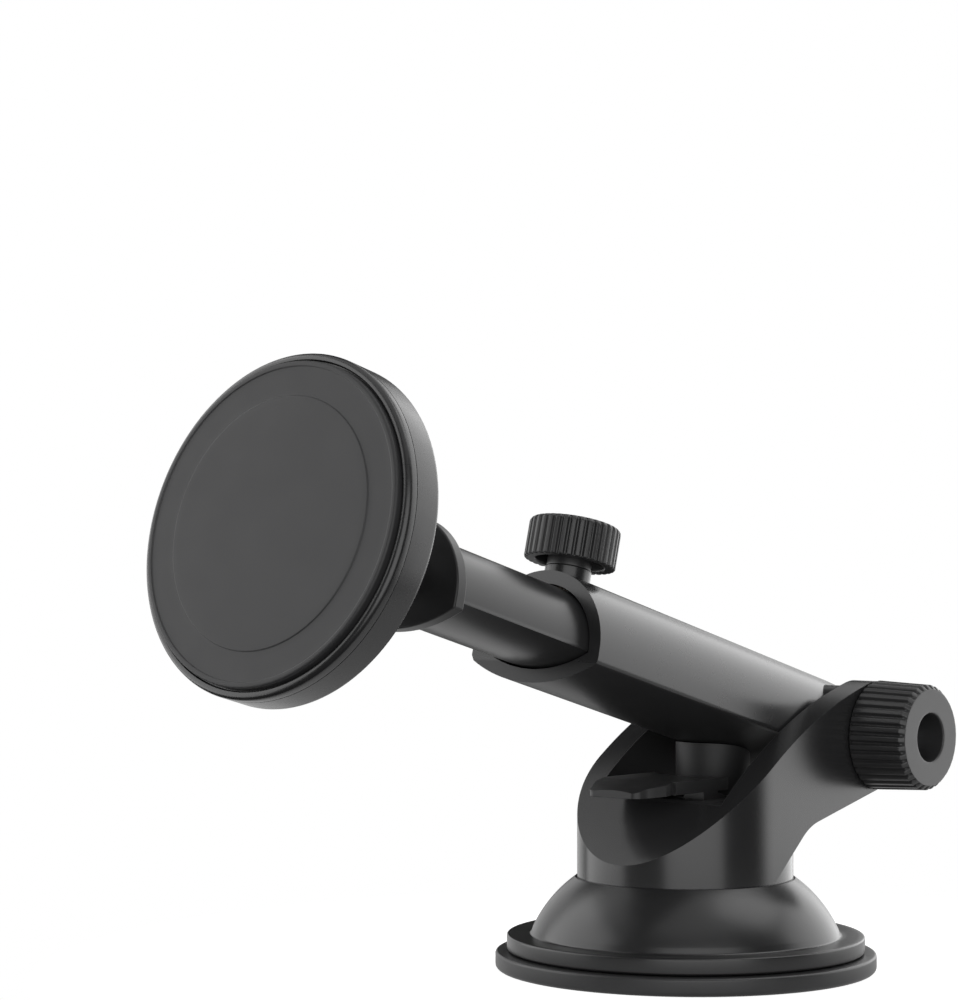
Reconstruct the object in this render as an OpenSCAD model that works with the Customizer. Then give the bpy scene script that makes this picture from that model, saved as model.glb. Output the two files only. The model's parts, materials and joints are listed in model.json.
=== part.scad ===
// Holder for a phone: a locking suction base, a tilting telescopic arm and a magnetic head on a ball.
// +Z is up and the origin is the centre of the suction face. The arm points to -Y, the hinge lies
// along X and its knob is on +X.

/* [Suction pad] */
// Radius of the rubber pad
pad_r = 34.85; // [34:0.05:38]
// Thickness of the pad at its rim
pad_rim_h = 3.2; // [2.8:0.1:4]
// Rounding of the pad's rim
pad_edge_r = 0.9; // [0.4:0.1:1.2]
// Radius of the raised middle that the shell sits on
pad_seat_r = 31; // [29:0.1:32]
// Height of the raised middle, which leaves a dark line round the shell
pad_seat_h = 0.2; // [0.1:0.05:0.6]
// Radius of the vacuum chamber under the pad
chamber_r = 22; // [16:0.5:24]
// Width of the chamber's sloping edge
chamber_slope_w = 4; // [2:0.5:6]
// Depth of the vacuum chamber
chamber_h = 1.6; // [1:0.1:2]

/* [Base shell] */
// Radius of the flange
flange_r = 32.75; // [32.5:0.05:33.5]
// Thickness of the flange
flange_h = 2.9; // [2.4:0.1:3.4]
// Rounding of the flange's rim
flange_edge_r = 0.5; // [0.2:0.1:0.9]
// Height of the flat top of the dome above the surface
dome_top_z = 16.7; // [16:0.1:18]
// Radius of the arc that shapes the dome
dome_arc_r = 23.85; // [23.5:0.05:25]
// Distance of that arc's centre from the middle
dome_arc_x = 6.4; // [6.2:0.1:7]
// Depth of that arc's centre below the surface
dome_arc_drop = 2.8; // [2.5:0.1:2.9]
// Wall of the dome
shell_wall = 2.5; // [2:0.1:3]
// Thickness of the deck that carries the bracket
deck_h = 2.5; // [2:0.1:3]

/* [Bracket] */
// Radius of the upright cylinder
bracket_r = 19.8; // [19.6:0.05:20]
// Distance from the middle to the inner face of an ear
ear_in = 14.5; // [14.4:0.05:14.8]
// Radius of the round end of an ear
ear_r = 10.1; // [9.5:0.1:11]
// Distance of the hinge behind the middle
hinge_y = 33.8; // [32:0.1:36]
// Height of the hinge
hinge_z = 41.8; // [41.5:0.1:44]
// Distance of the centre of the swept rim behind the hinge
sweep_back = 20.78; // [18:0.1:24]
// Distance of the centre of the swept rim below the hinge
sweep_drop = 85.83; // [80:0.5:90]
// Height of the floor between the ears
floor_z = 31.6; // [31:0.1:32]
// Thickness of that floor
floor_h = 2.4; // [2:0.1:3]
// Wall of the upright cylinder
bracket_wall = 2.5; // [2:0.1:3]
// Distance of the bend in an ear's lower edge behind the middle
ear_knee_y = 11.4; // [10:0.1:13]
// Height of that bend above the dome
ear_knee_h = 9.6; // [9:0.1:11]
// Rounding of that bend
ear_knee_r = 12; // [8:0.5:16]
// Radius of the post that carries the lowered arm
post_r = 6.9; // [6:0.1:7.5]
// Distance of the post behind the middle
post_y = 8.66; // [8.4:0.02:9.2]
// Play between the post and the arm
post_gap = 0.35; // [0.2:0.05:0.8]

/* [Lock] */
// Half the width of the lever
lever_half_w = 8.5; // [8:0.1:9]
// Reach of the lever in front of its pin
lever_reach = 21; // [18:0.5:23]
// Height of the lever's underside
lever_z = 33; // [32.9:0.1:33.4]
// Thickness of the lever
lever_h = 2.3; // [2:0.1:2.6]
// Reach of the lever's full width in front of its pin
lever_body_l = 14.2; // [13:0.1:16]
// Half the width of the lever's tip
lever_tip_half_w = 5.8; // [5:0.1:6.4]
// Corner radius of the lever's tip
lever_tip_r = 1.2; // [0.8:0.1:1.6]
// Depth of the small step on each side of the lever
lever_step = 0.7; // [0.4:0.1:1]
// Length of that step, and of the tip
lever_step_l = 1.8; // [1.6:0.1:2.2]
// Drop of the lever's top towards its tip
lever_top_drop = 0.8; // [0.4:0.1:1]
// Drop of the lever's underside towards its tip
lever_low_drop = 0.5; // [0.2:0.1:0.6]
// Gap between the lever's root and the post
lever_post_gap = 3.9; // [3.8:0.1:4.6]
// Distance from the middle to the inner face of a cheek
cheek_in = 4; // [3.9:0.1:4.4]
// Height of the lever's pin
pin_z = 28.4; // [28.2:0.1:28.5]
// Radius of the lever's pin
pin_r = 1.5; // [1.2:0.1:1.6]
// Wall of the cheeks round the pin
pin_boss_wall = 1.7; // [1.4:0.1:1.9]
// Radius of the cam
cam_r = 4.8; // [4.6:0.05:4.9]
// Offset of the cam's centre from the pin
cam_throw = 2.03; // [1.8:0.01:2.1]
// Angle of the offset in front of straight down
cam_angle = 75; // [70:1:80]
// Play under the cam
cam_gap = 0.17; // [0.1:0.01:0.3]
// Play in front of and behind the cam
pocket_gap = 0.45; // [0.3:0.05:0.5]
// Play beside the cheeks
cheek_gap = 0.3; // [0.2:0.05:0.5]
// Radius of the pull stem
stem_r = 3; // [2.6:0.1:3.1]
// Radius of the eye on top of the stem
stem_eye_r = 2.9; // [2.6:0.1:3]
// Radius of the plate on the pad
plate_r = 13; // [11:0.5:14]
// Thickness of that plate
plate_h = 1.6; // [1.2:0.1:2]
// Middle radius of the release spring
spring_r = 5.5; // [5:0.1:6]
// Thickness of the release spring's wire
spring_wire = 1.2; // [0.8:0.1:1.4]
// Thickness of the spring's washer
spring_washer_h = 0.8; // [0.6:0.1:1.2]
// Extra radius of the spring's washer on each side of the wire
spring_washer_rim = 0.6; // [0.3:0.1:0.9]

/* [Arm] */
// Tilt of the arm above level as stored
arm_tilt = 15; // [15:0.5:20]
// Half the width of the outer tube
tube_half_w = 14.1; // [13.9:0.05:14.15]
// Depth of the centre of the tube's arch below the hinge
arch_drop = 2.7; // [2.4:0.1:3]
// Height of the straight part of the tube's side
side_h = 2; // [1.5:0.1:2.6]
// Rise of the tube's curved belly
belly_h = 3.9; // [3:0.1:4.5]
// Wall of the outer tube
tube_wall = 2.4; // [2:0.05:2.45]
// Distance from the hinge to the outer tube's mouth
mouth_t = 79; // [78:0.5:86]
// Reach of the outer tube behind the hinge
tube_tail = 4.7; // [4:0.1:6]
// Rounding of the tube's rear end about the hinge
tail_r = 11.35; // [11:0.05:11.6]
// Radius of the hinge barrel
barrel_r = 9; // [8.5:0.1:9.5]
// Half the length of the hinge barrel
barrel_half_w = 13.35; // [13:0.05:13.4]
// Length of the barrel's plug in the outer tube
plug_len = 13.4; // [12:0.1:13.5]
// Play of the plugs in their tubes
plug_gap = 0.05; // [0.02:0.01:0.1]
// Play between the two tubes
tube_gap = 0.35; // [0.25:0.05:0.5]
// Wall of the inner tube
inner_wall = 1.8; // [1.5:0.1:2.2]
// Distance from the hinge to the inner tube's rear end
inner_rear_t = 49.8; // [49.5:0.1:52]
// Thickness of the glide on that end
glide_h = 1; // [0.8:0.1:1.1]
// Length of the glide's plug
glide_plug_len = 6; // [4:0.5:8]
// Distance from the hinge to the rear of the end collar
collar_t = 114.3; // [114:0.1:118]
// Thickness of the end collar
collar_h = 2.5; // [2:0.1:3.5]
// Step between the outer tube's section and the collar's
collar_step = 0.3; // [0.2:0.05:0.8]
// Thickness of the collar's end wall, which carries the ball
collar_wall = 4.5; // [4:0.1:5]
// Length of the collar's plug in the inner tube
collar_plug_len = 10; // [8:0.5:12]

/* [Hinge] */
// Radius of the hinge bolt
bolt_r = 2.5; // [2.3:0.05:2.6]
// Distance across the flats of the bolt's head and the nuts
hex_flats = 8; // [7.8:0.1:8.2]
// Share of the ear's width that the bolt's head fills
bolt_head_share = 0.64; // [0.56:0.01:0.66]
// Thickness of the nuts
nut_h = 4; // [3.5:0.1:4.2]
// Radius of the friction discs
disc_r = 8.6; // [7:0.1:8.8]
// Radius of the tilt knob at the bracket
tilt_knob_r = 10.25; // [10:0.05:11]
// Radius of the tilt knob at its front edge
tilt_knob_front_r = 9.8; // [9.6:0.05:10]
// Radius of the tilt knob's flat face
tilt_knob_face_r = 8.95; // [8.5:0.05:9.2]
// Length of the tilt knob
tilt_knob_len = 11.4; // [11:0.1:13]
// Length of the tilt knob's chamfer
tilt_knob_chamfer = 0.9; // [0.5:0.1:1.5]
// Gap between the tilt knob and the ear
tilt_knob_gap = 0.4; // [0.3:0.05:0.6]
// Radius of the bore in the tilt knob's face
tilt_bore_r = 4.5; // [4.2:0.1:5]
// Number of grooves round the tilt knob
tilt_grooves = 36; // [24:1:40]
// Radius of the grooves in both knobs
groove_r = 0.5; // [0.3:0.05:0.6]
// Radius of the tilt knob's washer
washer_r = 5.6; // [5:0.1:6]
// Thickness of the tilt knob's washer
washer_h = 1; // [0.8:0.1:1.2]

/* [Clamp] */
// Distance of the clamp screw behind the outer tube's mouth
clamp_back = 5.3; // [5:0.1:7]
// Radius of the boss on the tube
boss_r = 4.1; // [4:0.05:4.6]
// Height of the boss over the top of the tube
boss_h = 1.4; // [1:0.1:2]
// Radius of the threaded insert
insert_r = 3; // [2.8:0.1:3.2]
// Radius of the clamp screw
clamp_screw_r = 1.95; // [1.8:0.05:2.2]
// Radius of the clamp knob
clamp_knob_r = 8.1; // [7.8:0.05:9]
// Height of the clamp knob's rim
clamp_knob_h = 7.2; // [6.5:0.1:8]
// Height of the clamp knob's rim over the boss
clamp_knob_lift = 1.1; // [0.8:0.1:2]
// Rounding of the clamp knob's upper edge
clamp_knob_edge_r = 1.2; // [0.8:0.1:2]
// Wall of the clamp knob's rim
clamp_rim_wall = 2; // [1.6:0.1:2.4]
// Thickness of the clamp knob's top
clamp_top_h = 3.4; // [3:0.1:4]
// Radius of the clamp knob's neck
neck_r = 3.9; // [3.6:0.05:4]
// Gap between the neck and the boss
neck_gap = 0.15; // [0.1:0.05:0.4]
// Number of grooves round the clamp knob
clamp_grooves = 34; // [24:1:38]
// Thickness of the nylon tip
tip_h = 0.8; // [0.5:0.1:1]
// Gap between the tip and the inner tube
tip_gap = 0.1; // [0.05:0.01:0.2]

/* [Ball] */
// Height of the ball above the hinge, square to the arm
ball_m = 1.3; // [0.5:0.1:1.6]
// Distance of the ball's centre in front of the collar
ball_reach = 11; // [10.9:0.1:13]
// Radius of the ball
ball_r = 7.5; // [7.4:0.05:7.55]
// Radius of the ball's neck
ball_neck_r = 3; // [2.8:0.1:3]
// Radius of the shoulder that meets the collar
shoulder_r = 4; // [3.8:0.1:4.2]
// Thickness of that shoulder
shoulder_h = 1; // [0.8:0.1:1.1]
// Play between the ball, its seats and their housing
ball_gap = 0.1; // [0.06:0.01:0.12]
// Thickness of the ball's seats
seat_h = 1.9; // [1.8:0.05:2]
// Radius of the ring nut
ring_nut_r = 13.6; // [13.3:0.1:15]
// Radius of the threaded hub in the ring nut
hub_r = 11.6; // [11.3:0.1:11.8]
// Radius of the ring nut's grooves
ring_groove_r = 0.7; // [0.5:0.05:0.8]
// Number of the ring nut's grooves
ring_grooves = 20; // [12:1:24]

/* [Head] */
// Radius of the magnetic head
head_r = 28; // [27.8:0.1:30]
// Distance from the ball's centre to the rear of the head
head_rear = 11.2; // [11:0.1:13]
// Depth of the rear shell
head_shell_h = 5.5; // [5.3:0.1:7]
// Thickness of the front cover
cover_h = 2; // [1.6:0.1:2.6]
// Thickness of the silicone face
face_h = 1; // [0.6:0.1:1.5]
// Margin of the cover round the silicone face
face_margin = 1.6; // [1:0.1:2.5]
// Wall of the rear shell
head_wall = 2; // [1.6:0.1:2.1]
// Rounding of the head's edges
head_edge_r = 1; // [0.5:0.1:1.4]
// Inner radius of the magnet ring
magnet_in_r = 20.5; // [20:0.1:21]
// Outer radius of the magnet ring
magnet_out_r = 25.5; // [25:0.1:25.6]
// Thickness of the magnets
magnet_h = 2.4; // [2:0.1:2.5]
// Number of magnets
magnet_count = 16; // [12:2:20]
// Gap between neighbouring magnets
magnet_gap = 0.4; // [0.3:0.05:0.8]
// Thickness of the steel yoke
yoke_h = 0.8; // [0.6:0.1:0.9]
// Radius of the circle of the head's screws
head_screw_circle = 16.4; // [16.2:0.1:17]

/* [Screws] */
// Radius of a screw's shank
screw_r = 1.45; // [1.3:0.05:1.5]
// Radius of a screw's head
screw_head_r = 2.6; // [2.4:0.1:2.7]
// Height of a screw's head
screw_head_h = 1.7; // [1.4:0.1:1.9]
// Wall of a post round its screw
screw_post_wall = 1.5; // [1.3:0.1:1.8]
// Length of a bracket screw's shank
bracket_screw_len = 9; // [8:0.5:10]
// Radius of the circle of the bracket's screws
bracket_screw_circle = 14; // [13.6:0.1:14.4]
// Distance of the barrel's screws from the middle
barrel_screw_x = 4.5; // [4:0.1:4.6]
// Distance of the barrel's screws from the hinge
barrel_screw_t = 11; // [10.5:0.1:11]
// Length of a barrel screw's shank
barrel_screw_len = 7; // [5:0.5:8]
// Depth of the seat of a barrel screw above the belly's lowest line
barrel_screw_sink = 1.9; // [1.7:0.05:1.95]
// Height of the flat head of a sunk screw
sunk_head_h = 0.9; // [0.7:0.05:1]
// Depth of the seat of a head screw
head_screw_sink = 1; // [0.95:0.05:1.2]

/* [Hidden] */
$fn = 96;

// Overrun of a cut past the face that it opens
cut = 1;
// Radial play of a shaft that turns in a bore
run_gap = 0.08;
// Radial play of a threaded or pressed shaft
fit_gap = 0.05;
// Play between flat faces that slide on each other
face_gap = 0.05;
// Radial play of a through hole round a screw
hole_gap = 0.25;
// Wall between the tilt knob's washer and its nut
nut_seat_h = 0.6;
// Reach of the pocket's corners behind the pin, where the heel of the raised lever goes
heel_back = 5.3;
// Share of the cam's radius that the cheek's upper part reaches forward
cheek_front_share = 0.8;
// Width of the ring nut's rear face
nut_lip = 1.6;
// Height of the ring nut's rear cone
nut_cone_h = 3.2;
// Gap between the ring nut and the head
ring_nut_gap = 1.5;
// Reach of the threaded hub behind the ball's centre
hub_tail = 2.1;
// Wall of the hollow plugs in the inner tube
plug_wall = 1.1;
// Angles of the two seats, counted from the front of the ball's axis
front_seat_angle = 60;
rear_seat_angles = [100, 130];
// Half angle of the ring nut's rear opening
nut_opening = 48;

pad_top_z = pad_rim_h + pad_seat_h;
flange_top_z = pad_top_z + flange_h;
deck_z = dome_top_z - deck_h;
sweep_y = hinge_y + sweep_back;
sweep_z = hinge_z - sweep_drop;
sweep_r = norm([sweep_back, sweep_drop]) + ear_r;
ear_w = bracket_r - ear_in;
bolt_head_h = ear_w * bolt_head_share;
cam_y = -cam_throw * sin(cam_angle);
cam_z = -cam_throw * cos(cam_angle);
pocket_front = cam_y - cam_r - pocket_gap;
pocket_back = pin_r + pin_boss_wall + pocket_gap;
pocket_z = pin_z + cam_z - cam_r - cam_gap;
pocket_half_w = lever_half_w + cheek_gap;
tube_top = tube_half_w - arch_drop;
belly_m = arch_drop + side_h + belly_h;
hex_r = hex_flats / sqrt(3);
knob_x = bracket_r + tilt_knob_gap;
tilt_nut_x = bracket_r + washer_h + face_gap + nut_seat_h;
bolt_end_x = tilt_nut_x + nut_h + face_gap;
inner_inset = tube_wall + tube_gap;
bore_inset = inner_inset + inner_wall;
inner_half_w = tube_half_w - inner_inset;
inner_top = inner_half_w - arch_drop;
clamp_t = mouth_t - clamp_back;
boss_top = tube_top + boss_h;
rim_m = boss_top + clamp_knob_lift;
collar_face_t = collar_t + collar_h;
ball_t = collar_face_t + ball_reach;
housing_r = ball_r + 2 * ball_gap + seat_h;
nut_rear = housing_r * cos(nut_opening);
nut_front = head_rear - ring_nut_gap;
shell_front = head_rear + head_shell_h;
cover_front = shell_front + cover_h;
post_hole_r = screw_r + fit_gap;

function unit(v) = v / norm(v);

// Points of the arc of radius r that rounds the corner b between a and c
function rounded_corner(a, b, c, r, steps) =
    let (
        u = unit(a - b),
        v = unit(c - b),
        half = acos(u * v) / 2,
        centre = b + unit(u + v) * r / sin(half),
        from = b + u * r / tan(half) - centre,
        to = b + v * r / tan(half) - centre,
        start = atan2(from[1], from[0]),
        turn = atan2(to[1], to[0]) - start,
        sweep = turn > 180 ? turn - 360 : turn < -180 ? turn + 360 : turn
    )
    [for (i = [0 : steps]) centre + r * [cos(start + sweep * i / steps), sin(start + sweep * i / steps)]];

// Point where the lower tangent from p meets a circle
function lower_tangent(p, centre, r) =
    let (
        d = norm(centre - p),
        angle = atan2(centre[1] - p[1], centre[0] - p[0]) - asin(r / d)
    )
    p + sqrt(d * d - r * r) * [cos(angle), sin(angle)];

// Frames
module at_hinge() translate([0, hinge_y, hinge_z]) rotate([0, 90, 0]) children();
module at_arm() translate([0, hinge_y, hinge_z]) rotate([90 - arm_tilt, 0, 0]) children();
module at_clamp() at_arm() translate([0, 0, clamp_t]) rotate([-90, 0, 0]) children();
module at_ball() at_arm() translate([0, ball_m, ball_t]) children();

// A rod along X from x0 to x1, on the axis of the frame that it is drawn in
module x_rod(r, x0, x1) translate([x0, 0, 0]) rotate([0, 90, 0]) cylinder(r = r, h = x1 - x0);

// A tube along Z
module ring(outer, inner, z0, z1) translate([0, 0, z0]) difference() {
    cylinder(r = outer, h = z1 - z0);
    translate([0, 0, -cut]) cylinder(r = inner, h = z1 - z0 + 2 * cut);
}

// Half section of a disc with rounded outer edges
module disc_section(r, h, edge) {
    square([r - edge, h]);
    translate([0, edge]) square([r, h - 2 * edge]);
    for (z = [edge, h - edge]) translate([r - edge, z]) circle(r = edge);
}

// Half section of a disc with a rounded upper edge
module cap_section(r, h, edge) {
    square([r - edge, h]);
    square([r, h - edge]);
    translate([r - edge, h - edge]) circle(r = edge);
}

module hexagon(h, gap = 0) cylinder(r = hex_r + gap, h = h, $fn = 6);

// Grooves along Z in a round grip that narrows by the angle lean
module grip_grooves(count, at_r, r, z0, z1, lean) for (i = [0 : count - 1])
    rotate([0, 0, i * 360 / count]) translate([at_r, 0, z0]) rotate([0, -lean, 0])
        cylinder(r = r, h = z1 - z0);

// Section of the arm: an arch, short straight sides and a belly. Inset moves it inwards.
module arm_section(inset) {
    half_w = tube_half_w - inset;
    rise = belly_h - inset * belly_h / tube_half_w;
    low = belly_m - inset;
    belly_r = (half_w * half_w + rise * rise) / (2 * rise);
    intersection() {
        union() {
            translate([0, -arch_drop]) circle(r = half_w);
            translate([-half_w, -low]) square([2 * half_w, low - arch_drop]);
        }
        translate([0, belly_r - low]) circle(r = belly_r);
    }
}

module arm_bar(inset, t0, t1) translate([0, 0, t0]) linear_extrude(height = t1 - t0) arm_section(inset);

// A screw that drives towards +Z, with its head below z = 0
module screw(length, head_h) {
    translate([0, 0, -head_h]) cylinder(r = screw_head_r, h = head_h);
    cylinder(r = screw_r, h = length);
}

// Base
module suction_pad() color("#1b1b1b") rotate_extrude() difference() {
    union() {
        disc_section(pad_r, pad_rim_h, pad_edge_r);
        square([pad_seat_r, pad_top_z]);
    }
    polygon([[0, 0], [chamber_r, 0], [chamber_r - chamber_slope_w, chamber_h], [0, chamber_h]]);
}

module dome_section(inset, low, high) intersection() {
    translate([dome_arc_x, -dome_arc_drop]) circle(r = dome_arc_r - inset);
    translate([0, low]) square([flange_r, high - low]);
}

module base_shell() color("#262626") difference() {
    rotate_extrude() difference() {
        union() {
            translate([0, pad_top_z]) disc_section(flange_r, flange_h, flange_edge_r);
            dome_section(0, pad_top_z + flange_h / 2, dome_top_z);
        }
        dome_section(shell_wall, 0, deck_z);
    }
    cylinder(r = stem_r + run_gap, h = dome_top_z + cut);
    at_bracket_screws() cylinder(r = screw_r + hole_gap, h = dome_top_z + cut);
}

module at_bracket_screws() for (i = [0 : 3])
    rotate([0, 0, 45 + 90 * i]) translate([bracket_screw_circle, 0, 0]) children();

// Side outline of an ear from the middle of the base to the hinge, as y and z
module ear_outline() {
    heel = [0, dome_top_z];
    knee = [ear_knee_y, dome_top_z + ear_knee_h];
    hinge = [hinge_y, hinge_z];
    low = lower_tangent(knee, hinge, ear_r);
    high = hinge + ear_r * unit([-sweep_back, sweep_drop]);
    polygon(concat([heel], rounded_corner(heel, knee, low, ear_knee_r, 8), [low, hinge, high, [0, high[1]]]));
    translate(hinge) circle(r = ear_r);
}

// Everything below the swept rim, drawn in by inset
module under_sweep(inset) translate([0, sweep_y, sweep_z])
    x_rod(sweep_r - inset, -bracket_r - cut, bracket_r + cut);

module bracket_body() intersection() {
    union() {
        translate([0, 0, dome_top_z]) cylinder(r = bracket_r, h = hinge_z - dome_top_z);
        for (side = [-1, 1]) translate([side * (ear_in + ear_w / 2) - ear_w / 2, 0, 0])
            rotate([90, 0, 90]) linear_extrude(height = ear_w) ear_outline();
    }
    under_sweep(0);
}

module bracket_hollow() difference() {
    intersection() {
        translate([0, 0, dome_top_z - cut])
            cylinder(r = bracket_r - bracket_wall, h = floor_z - floor_h - dome_top_z + cut);
        under_sweep(bracket_wall);
    }
    translate([-pocket_half_w - bracket_wall, pocket_front - bracket_wall, pocket_z - floor_h])
        cube([2 * (pocket_half_w + bracket_wall), heel_back - pocket_front + 2 * bracket_wall, floor_z]);
    cylinder(r = stem_r + bracket_wall, h = floor_z);
    at_bracket_screws() cylinder(r = screw_r + screw_post_wall, h = floor_z);
}

// The post ends in a saddle, just short of the belly of the lowered arm
module rest_post() difference() {
    translate([0, post_y, floor_z - floor_h]) cylinder(r = post_r, h = hinge_z - floor_z + floor_h);
    at_arm() arm_bar(-post_gap, 0, mouth_t);
}

module bracket() color("#2b2b2b") difference() {
    union() {
        difference() {
            bracket_body();
            bracket_hollow();
            translate([-ear_in, -bracket_r - cut, floor_z])
                cube([2 * ear_in, bracket_r + hinge_y + ear_r + 2 * cut, hinge_z]);
        }
        rest_post();
    }
    translate([-pocket_half_w, pocket_front, pocket_z])
        cube([2 * pocket_half_w, pocket_back - pocket_front, floor_z - pocket_z]);
    for (side = [-1, 1]) translate([side * (pocket_half_w + post_r) / 2 - (pocket_half_w - post_r) / 2, 0,
        floor_z - floor_h]) cube([pocket_half_w - post_r, heel_back, floor_h]);
    cylinder(r = stem_r + hole_gap, h = floor_z);
    at_bracket_screws() cylinder(r = post_hole_r, h = deck_z + bracket_screw_len + cut);
    translate([0, hinge_y, hinge_z]) x_rod(bolt_r + run_gap, -bracket_r - cut, bracket_r + cut);
    at_hinge() translate([0, 0, -bracket_r - cut]) hexagon(bolt_head_h + cut, fit_gap);
}

module bracket_screws() color("#a8a8ac") at_bracket_screws() translate([0, 0, deck_z])
    screw(bracket_screw_len, screw_head_h);

// Lock
module stem_plate() color("#8d8d90") ring(plate_r, stem_r, pad_top_z, pad_top_z + plate_h);

module pull_stem() color("#b4b4b8") difference() {
    union() {
        translate([0, 0, pad_top_z]) cylinder(r = stem_r, h = pin_z - pad_top_z);
        translate([0, 0, pin_z]) x_rod(stem_eye_r, -stem_r, stem_r);
    }
    translate([0, 0, pin_z]) x_rod(pin_r + run_gap, -stem_r - cut, stem_r + cut);
}

module stem_spring() color("#9a9a9e")
    ring(spring_r + spring_wire / 2, spring_r - spring_wire / 2, pad_top_z + plate_h, deck_z - spring_washer_h);

module spring_washer() color("#a8a8ac") ring(spring_r + spring_wire / 2 + spring_washer_rim,
    spring_r - spring_wire / 2 - spring_washer_rim, deck_z - spring_washer_h, deck_z);

// Plan of the lever, with a step and a slanting shoulder on each side
module lever_plan() difference() {
    shoulder_w = lever_half_w - lever_step;
    shoulder_y = -lever_body_l - lever_step_l;
    union() {
        translate([-lever_half_w, -lever_body_l]) square([2 * lever_half_w, lever_body_l + post_y]);
        translate([-shoulder_w, shoulder_y]) square([2 * shoulder_w, lever_step_l + cut]);
        polygon([[-shoulder_w, shoulder_y], [-lever_tip_half_w, lever_step_l - lever_reach],
            [lever_tip_half_w, lever_step_l - lever_reach], [shoulder_w, shoulder_y]]);
        translate([-lever_tip_half_w, lever_tip_r - lever_reach])
            square([2 * lever_tip_half_w, lever_step_l - lever_tip_r + cut]);
        translate([lever_tip_r - lever_tip_half_w, -lever_reach])
            square([2 * (lever_tip_half_w - lever_tip_r), 2 * lever_tip_r]);
        for (side = [-1, 1])
            translate([side * (lever_tip_half_w - lever_tip_r), lever_tip_r - lever_reach])
                circle(r = lever_tip_r);
    }
    translate([0, post_y]) circle(r = post_r + lever_post_gap);
    translate([-lever_half_w - cut, post_y - post_r])
        square([2 * (lever_half_w + cut), lever_reach + post_y]);
}

// Side view of the lever's plate, which droops towards its tip
module lever_side() polygon([[post_y, lever_z], [-lever_body_l, lever_z],
    [-lever_reach, lever_z - lever_low_drop], [-lever_reach, lever_z + lever_h - lever_top_drop],
    [-lever_body_l, lever_z + lever_h], [post_y, lever_z + lever_h]]);

// Side view of a cheek about the pin, as y and z
module cheek_outline() {
    top = lever_z + lever_h / 2 - pin_z;
    root = post_r + lever_post_gap - sqrt(pow(post_r + lever_post_gap, 2) - cheek_in * cheek_in);
    back = post_y - post_r - lever_post_gap + root;
    translate([cam_y, cam_z]) circle(r = cam_r);
    circle(r = pin_r + pin_boss_wall);
    translate([cam_y - cam_r * cheek_front_share, 0]) square([back - cam_y + cam_r * cheek_front_share, top]);
}

module lever() color("#2b2b2b") difference() {
    union() {
        intersection() {
            translate([0, 0, lever_z - lever_low_drop])
                linear_extrude(height = lever_h + lever_low_drop) lever_plan();
            translate([-lever_half_w - cut, 0, 0]) rotate([90, 0, 90])
                linear_extrude(height = 2 * (lever_half_w + cut)) lever_side();
        }
        for (side = [-1, 1]) translate([side * (cheek_in + lever_half_w) / 2, 0, pin_z]) rotate([90, 0, 90])
            linear_extrude(height = lever_half_w - cheek_in, center = true) cheek_outline();
    }
    translate([0, 0, pin_z]) x_rod(pin_r + fit_gap / 2, -lever_half_w - cut, lever_half_w + cut);
}

module lever_pin() color("#b4b4b8") translate([0, 0, pin_z])
    x_rod(pin_r, -lever_half_w + face_gap, lever_half_w - face_gap);

// Hinge
module hinge_bolt() color("#a8a8ac") at_hinge() {
    translate([0, 0, face_gap - bracket_r]) hexagon(bolt_head_h - face_gap);
    translate([0, 0, bolt_head_h - bracket_r]) cylinder(r = bolt_r, h = bolt_end_x + bracket_r - bolt_head_h);
}

module tilt_washer() color("#a8a8ac") at_hinge()
    ring(washer_r, bolt_r + run_gap, bracket_r, bracket_r + washer_h);

module tilt_knob() color("#343434") at_hinge() difference() {
    front_x = knob_x + tilt_knob_len;
    rotate_extrude() polygon([[0, knob_x], [tilt_knob_r, knob_x],
        [tilt_knob_front_r, front_x - tilt_knob_chamfer], [tilt_knob_face_r, front_x], [0, front_x]]);
    grip_grooves(tilt_grooves, tilt_knob_r, groove_r, knob_x - cut, front_x + cut,
        atan((tilt_knob_r - tilt_knob_front_r) / (tilt_knob_len - tilt_knob_chamfer)));
    translate([0, 0, bracket_r]) cylinder(r = washer_r + hole_gap, h = washer_h + face_gap);
    translate([0, 0, bracket_r]) cylinder(r = bolt_r + hole_gap, h = tilt_knob_len);
    translate([0, 0, tilt_nut_x]) hexagon(nut_h + cut, fit_gap);
    translate([0, 0, tilt_nut_x + nut_h]) cylinder(r = tilt_bore_r, h = tilt_knob_len);
}

module nut() difference() {
    hexagon(nut_h);
    translate([0, 0, -cut]) cylinder(r = bolt_r + fit_gap, h = nut_h + 2 * cut);
}

module tilt_nut() color("#a8a8ac") at_hinge() translate([0, 0, tilt_nut_x]) nut();

module at_barrel_screws() at_arm() for (side = [-1, 1])
    translate([side * barrel_screw_x, -belly_m, barrel_screw_t]) rotate([-90, 0, 0]) children();

module hinge_barrel() color("#1e1e1e") difference() {
    union() {
        translate([0, hinge_y, hinge_z]) x_rod(barrel_r, -barrel_half_w, barrel_half_w);
        at_arm() arm_bar(tube_wall + plug_gap, 0, plug_len);
    }
    translate([0, hinge_y, hinge_z]) x_rod(bolt_r + run_gap, -barrel_half_w - cut, barrel_half_w + cut);
    at_barrel_screws() cylinder(r = post_hole_r, h = barrel_screw_sink + barrel_screw_len + cut);
}

module friction_discs() color("#c9c4b0") at_hinge() for (side = [-1, 1]) {
    mid = side * (barrel_half_w + ear_in - face_gap) / 2;
    half = (ear_in - face_gap - barrel_half_w) / 2;
    ring(disc_r, bolt_r + run_gap, mid - half, mid + half);
}

module barrel_screws() color("#a8a8ac") at_barrel_screws() translate([0, 0, barrel_screw_sink])
    screw(barrel_screw_len, sunk_head_h);

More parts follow.
